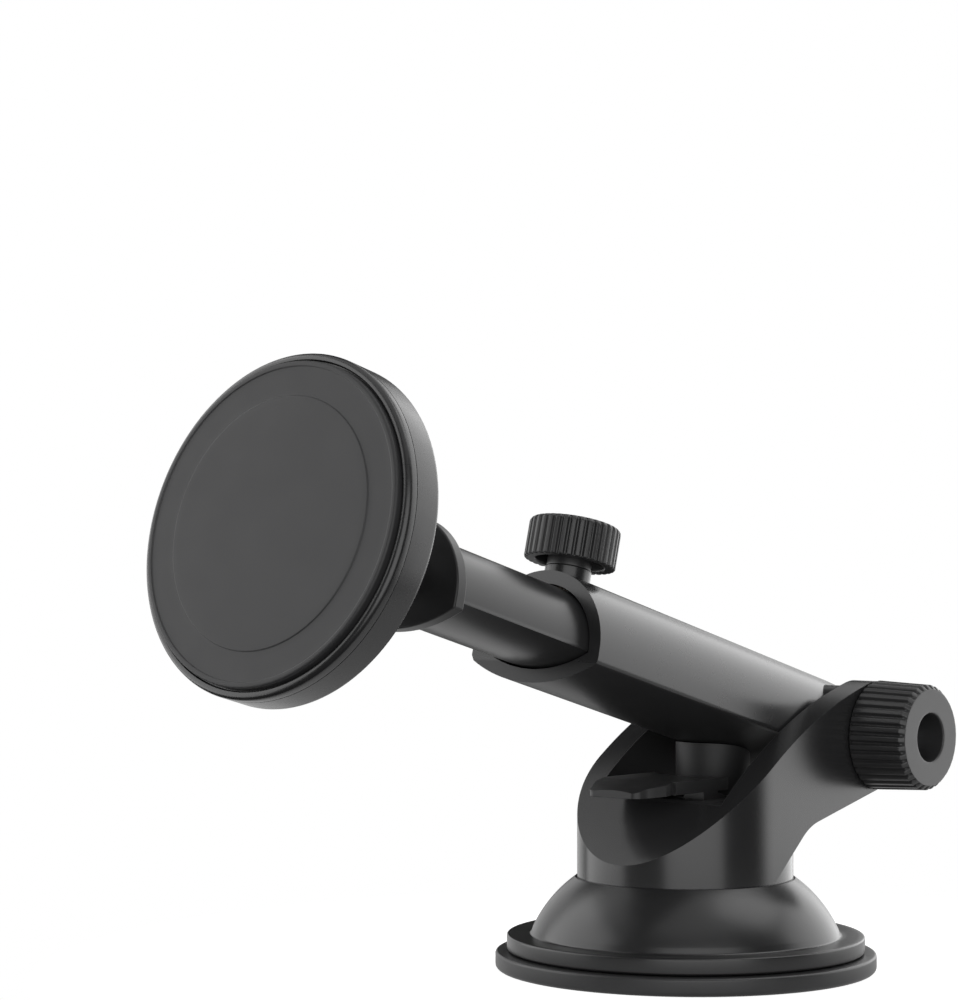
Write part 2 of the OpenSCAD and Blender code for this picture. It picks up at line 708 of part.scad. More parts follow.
// Arm
module outer_tube() color("#2b2b2b") at_arm() difference() {
    union() {
        intersection() {
            arm_bar(0, -tube_tail, mouth_t);
            union() {
                x_rod(tail_r, -bracket_r, bracket_r);
                translate([-bracket_r, -bracket_r, 0]) cube([2 * bracket_r, 2 * bracket_r, mouth_t]);
            }
        }
        translate([0, 0, clamp_t]) rotate([-90, 0, 0]) cylinder(r = boss_r, h = boss_top);
    }
    arm_bar(tube_wall, -tube_tail - cut, mouth_t + cut);
    x_rod(barrel_r + face_gap, -bracket_r, bracket_r);
    translate([0, 0, clamp_t]) rotate([-90, 0, 0]) cylinder(r = insert_r + fit_gap / 2, h = boss_top + cut);
    for (side = [-1, 1]) translate([side * barrel_screw_x, -belly_m, barrel_screw_t]) rotate([-90, 0, 0]) {
        translate([0, 0, -cut]) cylinder(r = screw_head_r + hole_gap, h = barrel_screw_sink + cut);
        cylinder(r = screw_r + hole_gap, h = belly_h);
    }
}

module clamp_insert() color("#c79a45") at_clamp()
    ring(insert_r, clamp_screw_r + fit_gap, tube_top - tube_wall, boss_top);

module clamp_knob() color("#343434") at_clamp() difference() {
    union() {
        difference() {
            translate([0, 0, rim_m]) rotate_extrude()
                cap_section(clamp_knob_r, clamp_knob_h, clamp_knob_edge_r);
            grip_grooves(clamp_grooves, clamp_knob_r, groove_r, rim_m - cut, rim_m + clamp_knob_h + cut, 0);
            translate([0, 0, rim_m - cut]) cylinder(r = clamp_knob_r - clamp_rim_wall,
                h = clamp_knob_h - clamp_top_h + cut);
        }
        translate([0, 0, boss_top + neck_gap])
            cylinder(r = neck_r, h = clamp_knob_lift + clamp_knob_h - clamp_top_h / 2 - neck_gap);
    }
    cylinder(r = clamp_screw_r + fit_gap / 2, h = rim_m + clamp_knob_h - clamp_top_h / 2);
}

module clamp_screw() color("#a8a8ac") at_clamp() translate([0, 0, inner_top + tip_gap + tip_h])
    cylinder(r = clamp_screw_r, h = rim_m + clamp_knob_h - clamp_top_h / 2 - inner_top - tip_gap - tip_h);

module clamp_tip() color("#d8d6cc") at_clamp() translate([0, 0, inner_top + tip_gap])
    cylinder(r = clamp_screw_r, h = tip_h);

module inner_tube() color("#262626") at_arm() difference() {
    arm_bar(inner_inset, inner_rear_t, collar_t);
    arm_bar(bore_inset, inner_rear_t - cut, collar_t + cut);
}

module rear_glide() color("#c9c4b0") at_arm() difference() {
    union() {
        arm_bar(inner_inset, inner_rear_t - glide_h, inner_rear_t);
        arm_bar(bore_inset + plug_gap, inner_rear_t, inner_rear_t + glide_plug_len);
    }
    arm_bar(bore_inset + plug_wall, inner_rear_t - glide_h - cut, inner_rear_t + glide_plug_len + cut);
}

module end_collar() color("#2b2b2b") at_arm() difference() {
    union() {
        arm_bar(collar_step, collar_t, collar_face_t);
        arm_bar(bore_inset + plug_gap, collar_t - collar_plug_len, collar_t);
    }
    arm_bar(bore_inset + plug_wall, collar_t - collar_plug_len - cut, collar_face_t - collar_wall);
    translate([0, ball_m, collar_t - collar_plug_len])
        cylinder(r = bolt_r + fit_gap, h = collar_plug_len + collar_h + cut);
}

// Ball
module ball_stud() color("#b4b4b8") at_ball() {
    sphere(r = ball_r);
    translate([0, 0, -ball_reach]) cylinder(r = ball_neck_r, h = ball_reach);
    translate([0, 0, -ball_reach]) cylinder(r = shoulder_r, h = shoulder_h);
    translate([0, 0, -ball_reach - collar_wall - nut_h]) cylinder(r = bolt_r, h = collar_wall + nut_h + cut);
}

module stud_nut() color("#a8a8ac") at_ball() translate([0, 0, -ball_reach - collar_wall - nut_h]) nut();

// Part of the hollow ball of the seats between two angles from the front
module seat(from, to) rotate_extrude() difference() {
    intersection() {
        circle(r = housing_r - ball_gap);
        polygon(concat([[0, 0]], [for (i = [0 : 4])
            2 * housing_r * [sin(from + (to - from) * i / 4), cos(from + (to - from) * i / 4)]]));
    }
    circle(r = ball_r + ball_gap);
}

module front_seat() color("#d8d6cc") at_ball() seat(0, front_seat_angle);

module rear_seat() color("#d8d6cc") at_ball() seat(rear_seat_angles[0], rear_seat_angles[1]);

module ring_nut() color("#303030") at_ball() difference() {
    rotate_extrude() polygon([[0, -nut_rear], [housing_r * sin(nut_opening) + nut_lip, -nut_rear],
        [ring_nut_r, nut_cone_h - nut_rear], [ring_nut_r, nut_front], [0, nut_front]]);
    sphere(r = housing_r);
    translate([0, 0, -hub_tail - face_gap]) cylinder(r = hub_r + fit_gap, h = nut_front + hub_tail + cut);
    translate([0, 0, -nut_rear - cut]) cylinder(r = housing_r * sin(nut_opening), h = nut_rear);
    grip_grooves(ring_grooves, ring_nut_r, ring_groove_r, -nut_rear, nut_front + cut, 0);
}

// Head
module at_head_screws() at_ball() for (i = [0 : 3])
    rotate([0, 0, 45 + 90 * i]) translate([head_screw_circle, 0, head_rear]) children();

module head_shell() color("#303030") difference() {
    at_ball() difference() {
        union() {
            translate([0, 0, head_rear + head_shell_h]) mirror([0, 0, 1])
                rotate_extrude() cap_section(head_r, head_shell_h, head_edge_r);
            translate([0, 0, -hub_tail]) cylinder(r = hub_r, h = head_rear + head_wall + hub_tail);
        }
        translate([0, 0, head_rear + head_wall]) cylinder(r = head_r - head_wall, h = head_shell_h);
        sphere(r = housing_r);
        translate([0, 0, -hub_tail - cut]) cylinder(r = housing_r, h = cut + hub_tail);
    }
    at_head_screws() translate([0, 0, -cut]) cylinder(r = screw_r + hole_gap, h = head_shell_h);
    at_head_screws() translate([0, 0, -cut])
        cylinder(r = screw_head_r + hole_gap, h = cut + head_screw_sink);
}

module magnet_yoke() color("#8d8d90") at_ball()
    ring(magnet_out_r, magnet_in_r, head_rear + head_wall, head_rear + head_wall + yoke_h);

module magnets() color("#b4b4b8") at_ball() difference() {
    z0 = head_rear + head_wall + yoke_h;
    ring(magnet_out_r, magnet_in_r, z0, z0 + magnet_h);
    for (i = [0 : magnet_count / 2 - 1]) rotate([0, 0, i * 360 / magnet_count])
        translate([-head_r, -magnet_gap / 2, z0 - cut]) cube([2 * head_r, magnet_gap, magnet_h + 2 * cut]);
}

module front_cover() color("#303030") difference() {
    at_ball() {
        translate([0, 0, shell_front]) rotate_extrude() cap_section(head_r, cover_h, head_edge_r);
        for (i = [0 : 3]) rotate([0, 0, 45 + 90 * i]) translate([head_screw_circle, 0, head_rear + head_wall])
            cylinder(r = screw_r + screw_post_wall, h = head_shell_h - head_wall + cover_h / 4);
    }
    at_head_screws() cylinder(r = post_hole_r, h = head_shell_h);
}

module face_pad() color("#1b1b1b") at_ball() translate([0, 0, cover_front]) rotate_extrude()
    cap_section(head_r - face_margin, face_h, face_h / 2);

module head_screws() color("#a8a8ac") at_head_screws() translate([0, 0, head_screw_sink])
    screw(head_shell_h - head_screw_sink - face_gap, sunk_head_h);

suction_pad();
base_shell();
bracket();
bracket_screws();
stem_plate();
pull_stem();
stem_spring();
spring_washer();
lever();
lever_pin();
hinge_bolt();
tilt_washer();
tilt_knob();
tilt_nut();
hinge_barrel();
friction_discs();
barrel_screws();
outer_tube();
clamp_insert();
clamp_knob();
clamp_screw();
clamp_tip();
inner_tube();
rear_glide();
end_collar();
ball_stud();
stud_nut();
rear_seat();
front_seat();
ring_nut();
head_shell();
magnet_yoke();
magnets();
front_cover();
face_pad();
head_screws();
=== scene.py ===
"""Finishes of the phone holder: rounded mouldings, knurled knobs, hardware, stage and camera."""
import json
import math

import bmesh
import bpy
import numpy as np
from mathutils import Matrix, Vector


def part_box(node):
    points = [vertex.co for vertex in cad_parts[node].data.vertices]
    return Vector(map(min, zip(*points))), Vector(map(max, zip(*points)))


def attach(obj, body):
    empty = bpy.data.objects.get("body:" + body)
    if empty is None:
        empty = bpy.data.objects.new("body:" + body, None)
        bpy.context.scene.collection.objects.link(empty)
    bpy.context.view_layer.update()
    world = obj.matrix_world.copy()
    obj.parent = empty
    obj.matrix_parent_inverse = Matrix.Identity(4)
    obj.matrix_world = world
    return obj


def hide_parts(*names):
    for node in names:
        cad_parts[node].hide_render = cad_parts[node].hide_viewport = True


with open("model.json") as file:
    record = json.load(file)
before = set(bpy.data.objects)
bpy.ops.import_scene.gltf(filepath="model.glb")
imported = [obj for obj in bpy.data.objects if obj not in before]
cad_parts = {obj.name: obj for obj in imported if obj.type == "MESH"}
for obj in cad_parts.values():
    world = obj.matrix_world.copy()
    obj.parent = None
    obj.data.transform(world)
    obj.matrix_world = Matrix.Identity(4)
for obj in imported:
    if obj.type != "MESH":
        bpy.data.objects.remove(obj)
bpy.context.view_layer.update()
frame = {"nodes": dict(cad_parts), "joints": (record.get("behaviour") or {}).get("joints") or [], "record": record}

bl_info = {
    "name": "Phone holder finishes",
    "version": (1, 0, 0),
    "blender": (4, 5, 0),
    "location": "View3D > Sidebar > Holder",
    "description": "Builds the rounded and finished pieces of a phone holder round its CAD frame",
    "category": "Object",
}

MM = 0.001
X_AXIS = np.array([1.0, 0.0, 0.0])
Z_AXIS = np.array([0.0, 0.0, 1.0])
JOINTS = {joint["name"]: joint for joint in frame["joints"]}
HINGE = np.array([0.0, *JOINTS["arm_tilt"]["pos_m"][1:]])
BALL = np.array(JOINTS["head_tilt"]["pos_m"])
CLAMP = np.array(JOINTS["clamp_turn"]["pos_m"])
ALONG_ARM = np.array(JOINTS["arm_slide"]["axis"])
OFF_ARM = np.cross(ALONG_ARM, X_AXIS)
SLOT_COLOURS = {m["slot"]: tuple(m["base_color"][:3]) for m in frame["record"]["materials"]}
SLOT_OF = {part["node"]: part["material_slot"] for part in frame["record"]["subparts"]}
BODY_OF = {node: body for body, nodes in frame["record"]["behaviour"]["bodies"].items() for node in nodes}

MERGE = 0.002 * MM  # points nearer than this are one point
FLAT = math.radians(0.4)  # faces that turn less than this are one flat face
BELLY_LINE = 4.7 * MM  # how far below the hinge the outer tube's sides turn into its belly
HEAD_SCREW_CIRCLE = 16.4 * MM  # radius of the circle of the head's four screws


def mm(*values):
    """Lengths given in millimetres, in metres."""
    return [value * MM for value in values]


# Shapes as whole arrays

def local_frame(origin, z_axis, x_axis):
    """A 3x4 matrix whose columns are the local x, y and z axes and the origin."""
    z = np.array(z_axis) / np.linalg.norm(z_axis)
    x = np.array(x_axis) / np.linalg.norm(x_axis)
    return np.column_stack([x, np.cross(z, x), z, np.array(origin)])


WORLD = local_frame((0, 0, 0), Z_AXIS, X_AXIS)
HINGE_FRAME = local_frame(HINGE, X_AXIS, Z_AXIS)
CLAMP_FRAME = local_frame(CLAMP, OFF_ARM, X_AXIS)
BALL_FRAME = local_frame(BALL, ALONG_ARM, X_AXIS)


def place(points, where):
    """World points: the local coordinates times the frame's axes, plus its origin."""
    return points @ where[:, :3].T + where[:, 3]


def full_turn(count):
    """Even angles round a full turn."""
    return 2 * np.pi * np.arange(count) / count


def on_circle(radius, angle, height):
    """Points (radius cos(angle), radius sin(angle), height)."""
    return np.column_stack([radius * np.cos(angle), radius * np.sin(angle), np.full(len(angle), height)])


def four_spots(radius, height, where):
    """Four world points on a circle about the frame's z axis, halfway between its x and y axes."""
    return place(on_circle(radius, np.radians([45, 135, 225, 315]), height), where)


def rounded(corners, steps=6, closed=False):
    """Profile through corners (a, b, radius): each corner becomes an arc tangent to both of its sides.

    The arc's points are the centre plus the radius times the unit vector that turns evenly from one
    tangent point to the other.
    """
    spots = np.array([c[:2] for c in corners], float)
    count = len(corners)
    rows = []
    for i, corner in enumerate(corners):
        radius = corner[2] if len(corner) > 2 else 0.0
        ends = i in (0, count - 1) and not closed
        if ends or radius == 0:
            rows.append(spots[i][None])
            continue
        before = spots[i - 1] - spots[i]
        after = spots[(i + 1) % count] - spots[i]
        u, v = before / np.linalg.norm(before), after / np.linalg.norm(after)
        half = math.acos(np.clip(u @ v, -1, 1)) / 2
        reach = radius / math.tan(half)
        middle = spots[i] + (u + v) / np.linalg.norm(u + v) * radius / math.sin(half)
        first, last = spots[i] + u * reach - middle, spots[i] + v * reach - middle
        start = math.atan2(first[1], first[0])
        turn = (math.atan2(last[1], last[0]) - start + math.pi) % (2 * math.pi) - math.pi
        angles = start + turn * np.linspace(0, 1, steps)
        rows.append(middle + radius * np.column_stack([np.cos(angles), np.sin(angles)]))
    return np.concatenate(rows)


def denser(profile, longest, closed=False):
    """The profile with its long sides cut into even pieces no longer than the given length."""
    ends = np.roll(profile, -1, axis=0) if closed else profile[1:]
    starts = profile if closed else profile[:-1]
    counts = np.maximum(1, np.ceil(np.linalg.norm(ends - starts, axis=1) / longest)).astype(int)
    rows = [a + (b - a) * np.linspace(0, 1, count, endpoint=False)[:, None]
            for a, b, count in zip(starts, ends, counts)]
    return np.concatenate(rows if closed else rows + [profile[-1:]])


def step_between(value, low, high):
    """0 below low, 1 above high and a smooth step between them."""
    t = np.clip((value - low) / (high - low), 0, 1)
    return t * t * (3 - 2 * t)


def grooves(count, depth, share, fade):
    """Ripple of a grip: steep-sided grooves between broad ridges, weighted by fade(r, z).

    The draw-in is depth times exp(-(s / share)^4), where s runs from -1 to 1 over one pitch.
    """
    def ripple(r, z, angle):
        s = (angle * count / (2 * np.pi)) % 1.0 * 2 - 1
        return depth * np.exp(-(s / share) ** 4) * fade(r, z)
    return ripple


def turned_grid(r, height, where):
    """World points from a table of radii and one of heights, whose columns go round the frame's z axis.

    x = r cos(angle), y = r sin(angle), z = height.
    """
    angle = full_turn(r.shape[1])
    return place(np.stack([r * np.cos(angle), r * np.sin(angle), height], axis=-1), where)


def revolve(profile, columns, where, ripple=None):
    """Grid of a profile (radius, height) turned about the frame's z axis, with r drawn in by the ripple."""
    r, height = (np.repeat(profile[:, i:i + 1], columns, axis=1) for i in (0, 1))
    if ripple is not None:
        r = r - ripple(profile[:, :1], profile[:, 1:], full_turn(columns)[None])
    return turned_grid(r, height, where)


def grid_mesh(grid, rows_closed=False, columns_closed=True):
    """Mesh of a grid of points, one quad for each cell; rows or columns may close on themselves."""
    rows, columns = grid.shape[:2]
    index = np.arange(rows * columns).reshape(rows, columns)
    down = np.roll(index, -1, axis=0) if rows_closed else index[1:]
    top = index if rows_closed else index[:-1]
    if columns_closed:
        quads = np.stack([top, np.roll(top, -1, axis=1), np.roll(down, -1, axis=1), down], axis=-1)
    else:
        quads = np.stack([top[:, :-1], top[:, 1:], down[:, 1:], down[:, :-1]], axis=-1)
    mesh = bpy.data.meshes.new("grid")
    mesh.from_pydata(grid.reshape(-1, 3), [], quads.reshape(-1, 4).tolist())
    return mesh


def tidy_mesh(mesh, flat_angle=None):
    """Merges doubled points, drops collapsed faces and turns all faces outwards."""
    work = bmesh.new()
    work.from_mesh(mesh)
    bmesh.ops.remove_doubles(work, verts=work.verts, dist=MERGE)
    bmesh.ops.dissolve_degenerate(work, edges=work.edges, dist=MERGE / 2)
    if flat_angle is not None:
        bmesh.ops.dissolve_limit(work, angle_limit=flat_angle, verts=work.verts, edges=work.edges)
    bmesh.ops.recalc_face_normals(work, faces=work.faces)
    work.to_mesh(mesh)
    work.free()
    mesh.shade_smooth()
    return mesh


def turned_mesh(profile, longest, columns, where, ripple=None, closed=False):
    """Closed mesh of a turned profile, in rows no further apart than the given length.

    An open profile starts and ends on the axis, and a closed one comes back to its start.
    """
    grid = revolve(denser(profile, longest, closed), columns, where, ripple)
    return tidy_mesh(grid_mesh(grid, rows_closed=closed))


def join_meshes(meshes):
    """One mesh that holds all the given ones as separate shells."""
    work = bmesh.new()
    for mesh in meshes:
        work.from_mesh(mesh)
        bpy.data.meshes.remove(mesh)
    joined = bpy.data.meshes.new("joined")
    work.to_mesh(joined)
    work.free()
    joined.shade_smooth()
    return joined


def points_of(mesh):
    """The mesh's points as one array."""
    points = np.zeros(len(mesh.vertices) * 3)
    mesh.vertices.foreach_get("co", points)
    return points.reshape(-1, 3)


def welded_copy(node):
    """The CAD node's mesh with its loose triangles merged and its flat faces made whole."""
    source = frame["nodes"][node].data
    source.calc_loop_triangles()
    corners = np.zeros(len(source.loop_triangles) * 3, np.int32)
    source.loop_triangles.foreach_get("vertices", corners)
    mesh = bpy.data.meshes.new("welded")
    mesh.from_pydata(points_of(source), [], corners.reshape(-1, 3).tolist())
    return tidy_mesh(mesh, FLAT)


def show(name, data):
    """A new object of the scene that holds the given mesh, lamp or camera."""
    thing = bpy.data.objects.new(name, data)
    bpy.context.scene.collection.objects.link(thing)
    return thing


def add_piece(name, mesh, node, sharp=None, body=None):
    """Shows a finished mesh in place of the CAD node, on the node's body or the one given."""
    piece = show(name, mesh)
    mesh.name = name
    mesh.materials.clear()
    mesh.materials.append(finish_of(node))
    if sharp is not None:
        mesh.set_sharp_from_angle(angle=math.radians(sharp))
    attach(piece, body or BODY_OF[node])
    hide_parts(node)
    return piece


def soften(piece, width, segments=3, angle=28):
    """Rounds a piece's edges with a Bevel that keeps its flat faces flat."""
    bevel = piece.modifiers.new("rounded_edges", "BEVEL")
    bevel.width = width
    bevel.segments = segments
    bevel.limit_method = "ANGLE"
    bevel.angle_limit = math.radians(angle)
    bevel.harden_normals = True
    bevel.miter_outer = "MITER_ARC"
    return piece


def moulded_copy(node, edge, segments=3, angle=28):
    """A CAD node's shape with moulded, rounded edges."""
    return soften(add_piece(node + "_moulding", welded_copy(node), node), edge, segments, angle)


# Shader expressions

class Wire:
    """One output of a node tree. Arithmetic on wires adds Math nodes."""

    def __init__(self, shader, socket):
        self.shader = shader
        self.socket = socket

    def _math(self, operation, *values):
        return self.shader.node("ShaderNodeMath", {"operation": operation}, *values)

    def __add__(self, other):
        return self._math("ADD", self, other)

    def __sub__(self, other):
        return self._math("SUBTRACT", self, other)

    def __rsub__(self, other):
        return self._math("SUBTRACT", other, self)

    def __mul__(self, other):
        return self._math("MULTIPLY", self, other)

    __radd__ = __add__
    __rmul__ = __mul__

    def size(self):
        """The value without its sign."""
        return self._math("ABSOLUTE", self)

    def clamped(self, low, high):
        """The value kept between low and high."""
        return self._math("MINIMUM", self._math("MAXIMUM", self, low), high)


class Shader:
    """The node tree of a material or a world, written as expressions."""

    def __init__(self, name, holder=None):
        self.holder = holder or bpy.data.materials.new(name)
        self.holder.use_nodes = True
        self.tree = self.holder.node_tree
        self.tree.nodes.clear()

    def node(self, kind, settings=None, *values, output=0, **named):
        """Adds a node: its settings first, then the values or wires of its sockets."""
        new = self.tree.nodes.new(kind)
        for key, value in (settings or {}).items():
            setattr(new, key, value)
        inputs = list(enumerate(values)) + [(key.replace("_", " "), value) for key, value in named.items()]
        for key, value in inputs:
            if isinstance(value, Wire):
                self.tree.links.new(value.socket, new.inputs[key])
            else:
                new.inputs[key].default_value = value
        return Wire(self, new.outputs[output]) if new.outputs else None

    def coordinates(self):
        """The place on the piece, in metres."""
        return self.node("ShaderNodeTexCoord", output="Object")

    def part(self, axis):
        """One component of the place on the piece."""
        return self.node("ShaderNodeSeparateXYZ", None, self.coordinates(), output=axis)

    def along(self, direction, origin):
        """Distance from the origin along a direction."""
        dot = self.node("ShaderNodeVectorMath", {"operation": "DOT_PRODUCT"}, self.coordinates(),
                        tuple(direction), output="Value")
        return dot - float(np.dot(direction, origin))

    def noise(self, size, detail=2.0, roughness=0.5):
        """Noise whose features are about the given size, in metres."""
        where = self.node("ShaderNodeMapping", None, self.coordinates(), Scale=(1 / size,) * 3)
        return self.node("ShaderNodeTexNoise", None, where, Scale=1.0, Detail=detail, Roughness=roughness)

    def blend(self, factor, low, high):
        """A colour between low and high."""
        new = self.tree.nodes.new("ShaderNodeMix")
        new.data_type = "RGBA"
        self.tree.links.new(factor.socket, new.inputs["Factor"])
        new.inputs["A"].default_value = (*low, 1)
        new.inputs["B"].default_value = (*high, 1)
        return Wire(self, new.outputs["Result"])

    def bump(self, height, distance, strength):
        return self.node("ShaderNodeBump", None, Strength=strength, Distance=distance, Height=height)

    def principled(self, **sockets):
        return self.node("ShaderNodeBsdfPrincipled", None, **sockets)

    def output(self, surface, kind="ShaderNodeOutputMaterial"):
        """Links the finished surface to the output, and returns the material or the world."""
        self.node(kind, None, surface)
        return self.holder

    def light_path(self):
        """Wires that are 1 for rays from the camera, from reflections and through glass."""
        path = self.tree.nodes.new("ShaderNodeLightPath")
        return [Wire(self, path.outputs[name])
                for name in ("Is Camera Ray", "Is Glossy Ray", "Is Transmission Ray")]


# Materials

BLACK, WHITE = (0.0, 0.0, 0.0), (1.0, 1.0, 1.0)
MATERIALS = {}


def lighter(colour, gain):
    """The colour times the gain, which may also darken it."""
    return tuple(min(1.0, c * gain) for c in colour)


def moulded_plastic(slot, roughness, grain, grain_height, sheen_spread=0.05, name=None, dull=None,
                    coarseness=0.34, gloss=0.4):
    """Dark moulded plastic: a spark-eroded grain, cloudy gloss and a faint change of tone.

    Where the painted-shade mask is 1 there is painted shade: the colour is darkened, and nine tenths of the
    surface is a matt shader with dim reflections. The plastic is also rougher there.
    """
    shader = Shader(name or slot)
    colour = SLOT_COLOURS[slot]
    cloud = shader.noise(9 * MM, 3.0)
    fine = shader.noise(grain, 2.0, 0.6)
    rub = shader.noise(2.2 * MM, 4.0, 0.65)
    shade = (cloud * 0.7 + fine * 0.3).clamped(0, 1)
    rough = (cloud - 0.5) * sheen_spread + (rub - 0.5) * (sheen_spread * 1.2) + roughness
    if dull is not None:
        # Painted shade: where the mask is 1 the colour is darkened and a dim matt shader is mixed in; the
        # roughness rises too.
        shade_and_coarse = dull(shader).clamped(0, 1)
        shade = shade * (1 - 0.9 * shade_and_coarse)
        rough = rough + coarseness * shade_and_coarse
    tone = shader.blend(shade, lighter(colour, 0.3), lighter(colour, 0.5))
    grained = shader.bump(fine, grain_height, 0.6)
    surface = shader.principled(Base_Color=tone, Roughness=rough, Specular_IOR_Level=gloss, Normal=grained)
    if dull is not None:
        shaded_matt = shader.principled(Base_Color=tone, Roughness=0.9, Specular_IOR_Level=0.06, Normal=grained)
        surface = shader.node("ShaderNodeMixShader", None, shade_and_coarse * 0.9, surface, shaded_matt)
    return shader.output(surface)


def fork_painted_shade(shader):
    """Painted shade between the bracket's ears, above the fork's floor: 0.45 on the floor and the post, 1 on the
    ears.
    """
    half_gap, ears_from, floor, edge_gain = 14.7 * MM, 12 * MM, 31 * MM, 4 / MM
    on_floor = 0.45
    across = shader.part(0).size()
    within = (((half_gap - across) * edge_gain).clamped(0, 1)
              * ((shader.part(2) - floor) * edge_gain).clamped(0, 1))
    return within * (((across - ears_from) * (1 / MM)).clamped(0, 1) * (1 - on_floor) + on_floor)


def belly_painted_shade(shader):
    """Painted shade below the line where the outer tube's side turns into its belly: 0.2, and up to 1 near the
    hinge.
    """
    least, near = 0.2, 30 * MM
    below = ((shader.along(OFF_ARM, HINGE) + BELLY_LINE) * (-2.5 / MM)).clamped(0, 1)
    return below * (((near - shader.along(ALONG_ARM, HINGE)) * (0.08 / MM)).clamped(0, 1 - least) + least)


def soft_rubber(slot, roughness, grain, grain_height):
    """Rubber or silicone: an even matt skin with fine pores and a faint bloom."""
    shader = Shader(slot)
    colour = SLOT_COLOURS[slot]
    bloom = shader.noise(6 * MM, 4.0, 0.6)
    pores = shader.noise(grain, 3.0, 0.6)
    tone = shader.blend(bloom, lighter(colour, 0.5), lighter(colour, 0.9))
    rough = (bloom - 0.5) * 0.12 + (pores - 0.5) * 0.08 + roughness
    return shader.output(shader.principled(Base_Color=tone, Roughness=rough, Specular_IOR_Level=0.4,
                                           Normal=shader.bump(pores, grain_height, 0.7)))


def plated_metal(slot, roughness, gain=(0.5, 0.8), name=None):
    """Metal with fine turning or rolling marks, and a patchy gloss."""
    shader = Shader(name or slot)
    colour = SLOT_COLOURS[slot]
    marks = shader.noise(0.35 * MM, 3.0, 0.6)
    patch = shader.noise(3 * MM, 3.0)
    tone = shader.blend(patch, lighter(colour, gain[0]), lighter(colour, gain[1]))
    rough = (marks - 0.5) * 0.16 + (patch - 0.5) * 0.1 + roughness
    return shader.output(shader.principled(Base_Color=tone, Roughness=rough, Metallic=1.0,
                                           Normal=shader.bump(marks, 0.004 * MM, 0.5)))


def natural_nylon(slot):
    """Cut nylon: warm white, slightly waxy, with turning marks."""
    shader = Shader(slot)
    colour = SLOT_COLOURS[slot]
    cloud = shader.noise(2 * MM, 3.0)
    marks = shader.noise(0.3 * MM, 2.0)
    tone = shader.blend(cloud, lighter(colour, 0.88), lighter(colour, 1.08))
    return shader.output(shader.principled(Base_Color=tone, Roughness=(cloud - 0.5) * 0.2 + 0.45,
                                           Normal=shader.bump(marks, 0.01 * MM, 0.5)))


def make_materials():
    """One material for each slot of the record, and one for each node that has a finish of its own."""
    def satin(name, roughness, grain_height, grain=0.24 * MM, **settings):
        return moulded_plastic("satin_plastic", roughness, grain, grain_height, 0.02, name=name, **settings)

    return {
        "pad_rubber": soft_rubber("pad_rubber", 0.4, 0.3 * MM, 0.005 * MM),
        "face_silicone": soft_rubber("face_silicone", 0.58, 0.18 * MM, 0.01 * MM),
        "shell_plastic": moulded_plastic("shell_plastic", 0.3, 0.22 * MM, 0.002 * MM),
        "knob_plastic": moulded_plastic("knob_plastic", 0.42, 0.2 * MM, 0.005 * MM),
        "dark_plastic": moulded_plastic("dark_plastic", 0.32, 0.22 * MM, 0.004 * MM),
        "head_plastic": moulded_plastic("head_plastic", 0.27, 0.22 * MM, 0.004 * MM),
        "satin_plastic": satin("satin_plastic", 0.27, 0.0012 * MM),
        # Painted shade inside the fork: the bracket is darker and reflects less between its ears.
        "bracket": satin("bracket_plastic", 0.25, 0.0012 * MM, dull=fork_painted_shade, coarseness=0.6),
        # Painted shade under the outer tube's belly, deepest near the hinge.
        "outer_tube": satin("tube_plastic", 0.27, 0.0012 * MM, dull=belly_painted_shade, coarseness=0.5, gloss=0.36),
        "inner_tube": satin("slide_plastic", 0.3, 0.001 * MM, gloss=0.26),
        "end_collar": satin("collar_plastic", 0.36, 0.001 * MM, gloss=0.24),
        "lever": satin("lever_plastic", 0.42, 0.001 * MM, grain=0.22 * MM, gloss=0.25),
        "zinc_steel": plated_metal("zinc_steel", 0.36),
        "pull_stem": plated_metal("zinc_steel", 0.4, gain=(0.05, 0.1), name="blackened_steel"),
        "spring_steel": plated_metal("spring_steel", 0.35),
        "ball_steel": plated_metal("ball_steel", 0.12),
        "magnet_nickel": plated_metal("magnet_nickel", 0.2),
        "insert_brass": plated_metal("insert_brass", 0.3),
        "nylon": natural_nylon("nylon"),
    }


def finish_of(node):
    """A CAD node's own material, or that of its slot. The first call makes them all."""
    if not MATERIALS:
        MATERIALS.update(make_materials())
    return MATERIALS.get(node) or MATERIALS[SLOT_OF[node]]


# Settings that a user may change

class HolderShape(bpy.types.PropertyGroup):
    """Sizes of the finished pieces."""
    moulding_edge: bpy.props.FloatProperty(
        name="Moulding edge", description="Radius of the edges of the bracket",
        default=0.6 * MM, min=0.1 * MM, max=1 * MM, unit="LENGTH")
    knob_groove: bpy.props.FloatProperty(
        name="Knob groove", description="Depth of the grooves round both knobs",
        default=0.6 * MM, min=0.1 * MM, max=0.8 * MM, unit="LENGTH")
    tilt_grooves: bpy.props.IntProperty(
        name="Tilt knob grooves", description="Number of grooves round the tilt knob",
        default=36, min=12, max=60)
    clamp_grooves: bpy.props.IntProperty(
        name="Clamp knob grooves", description="Number of grooves round the clamp knob",
        default=34, min=12, max=60)
    nut_grooves: bpy.props.IntProperty(
        name="Ring nut grooves", description="Number of grooves round the ring nut",
        default=20, min=8, max=40)
    spring_turns: bpy.props.FloatProperty(
        name="Spring turns", description="Turns of the release spring", default=4.5, min=2, max=8)


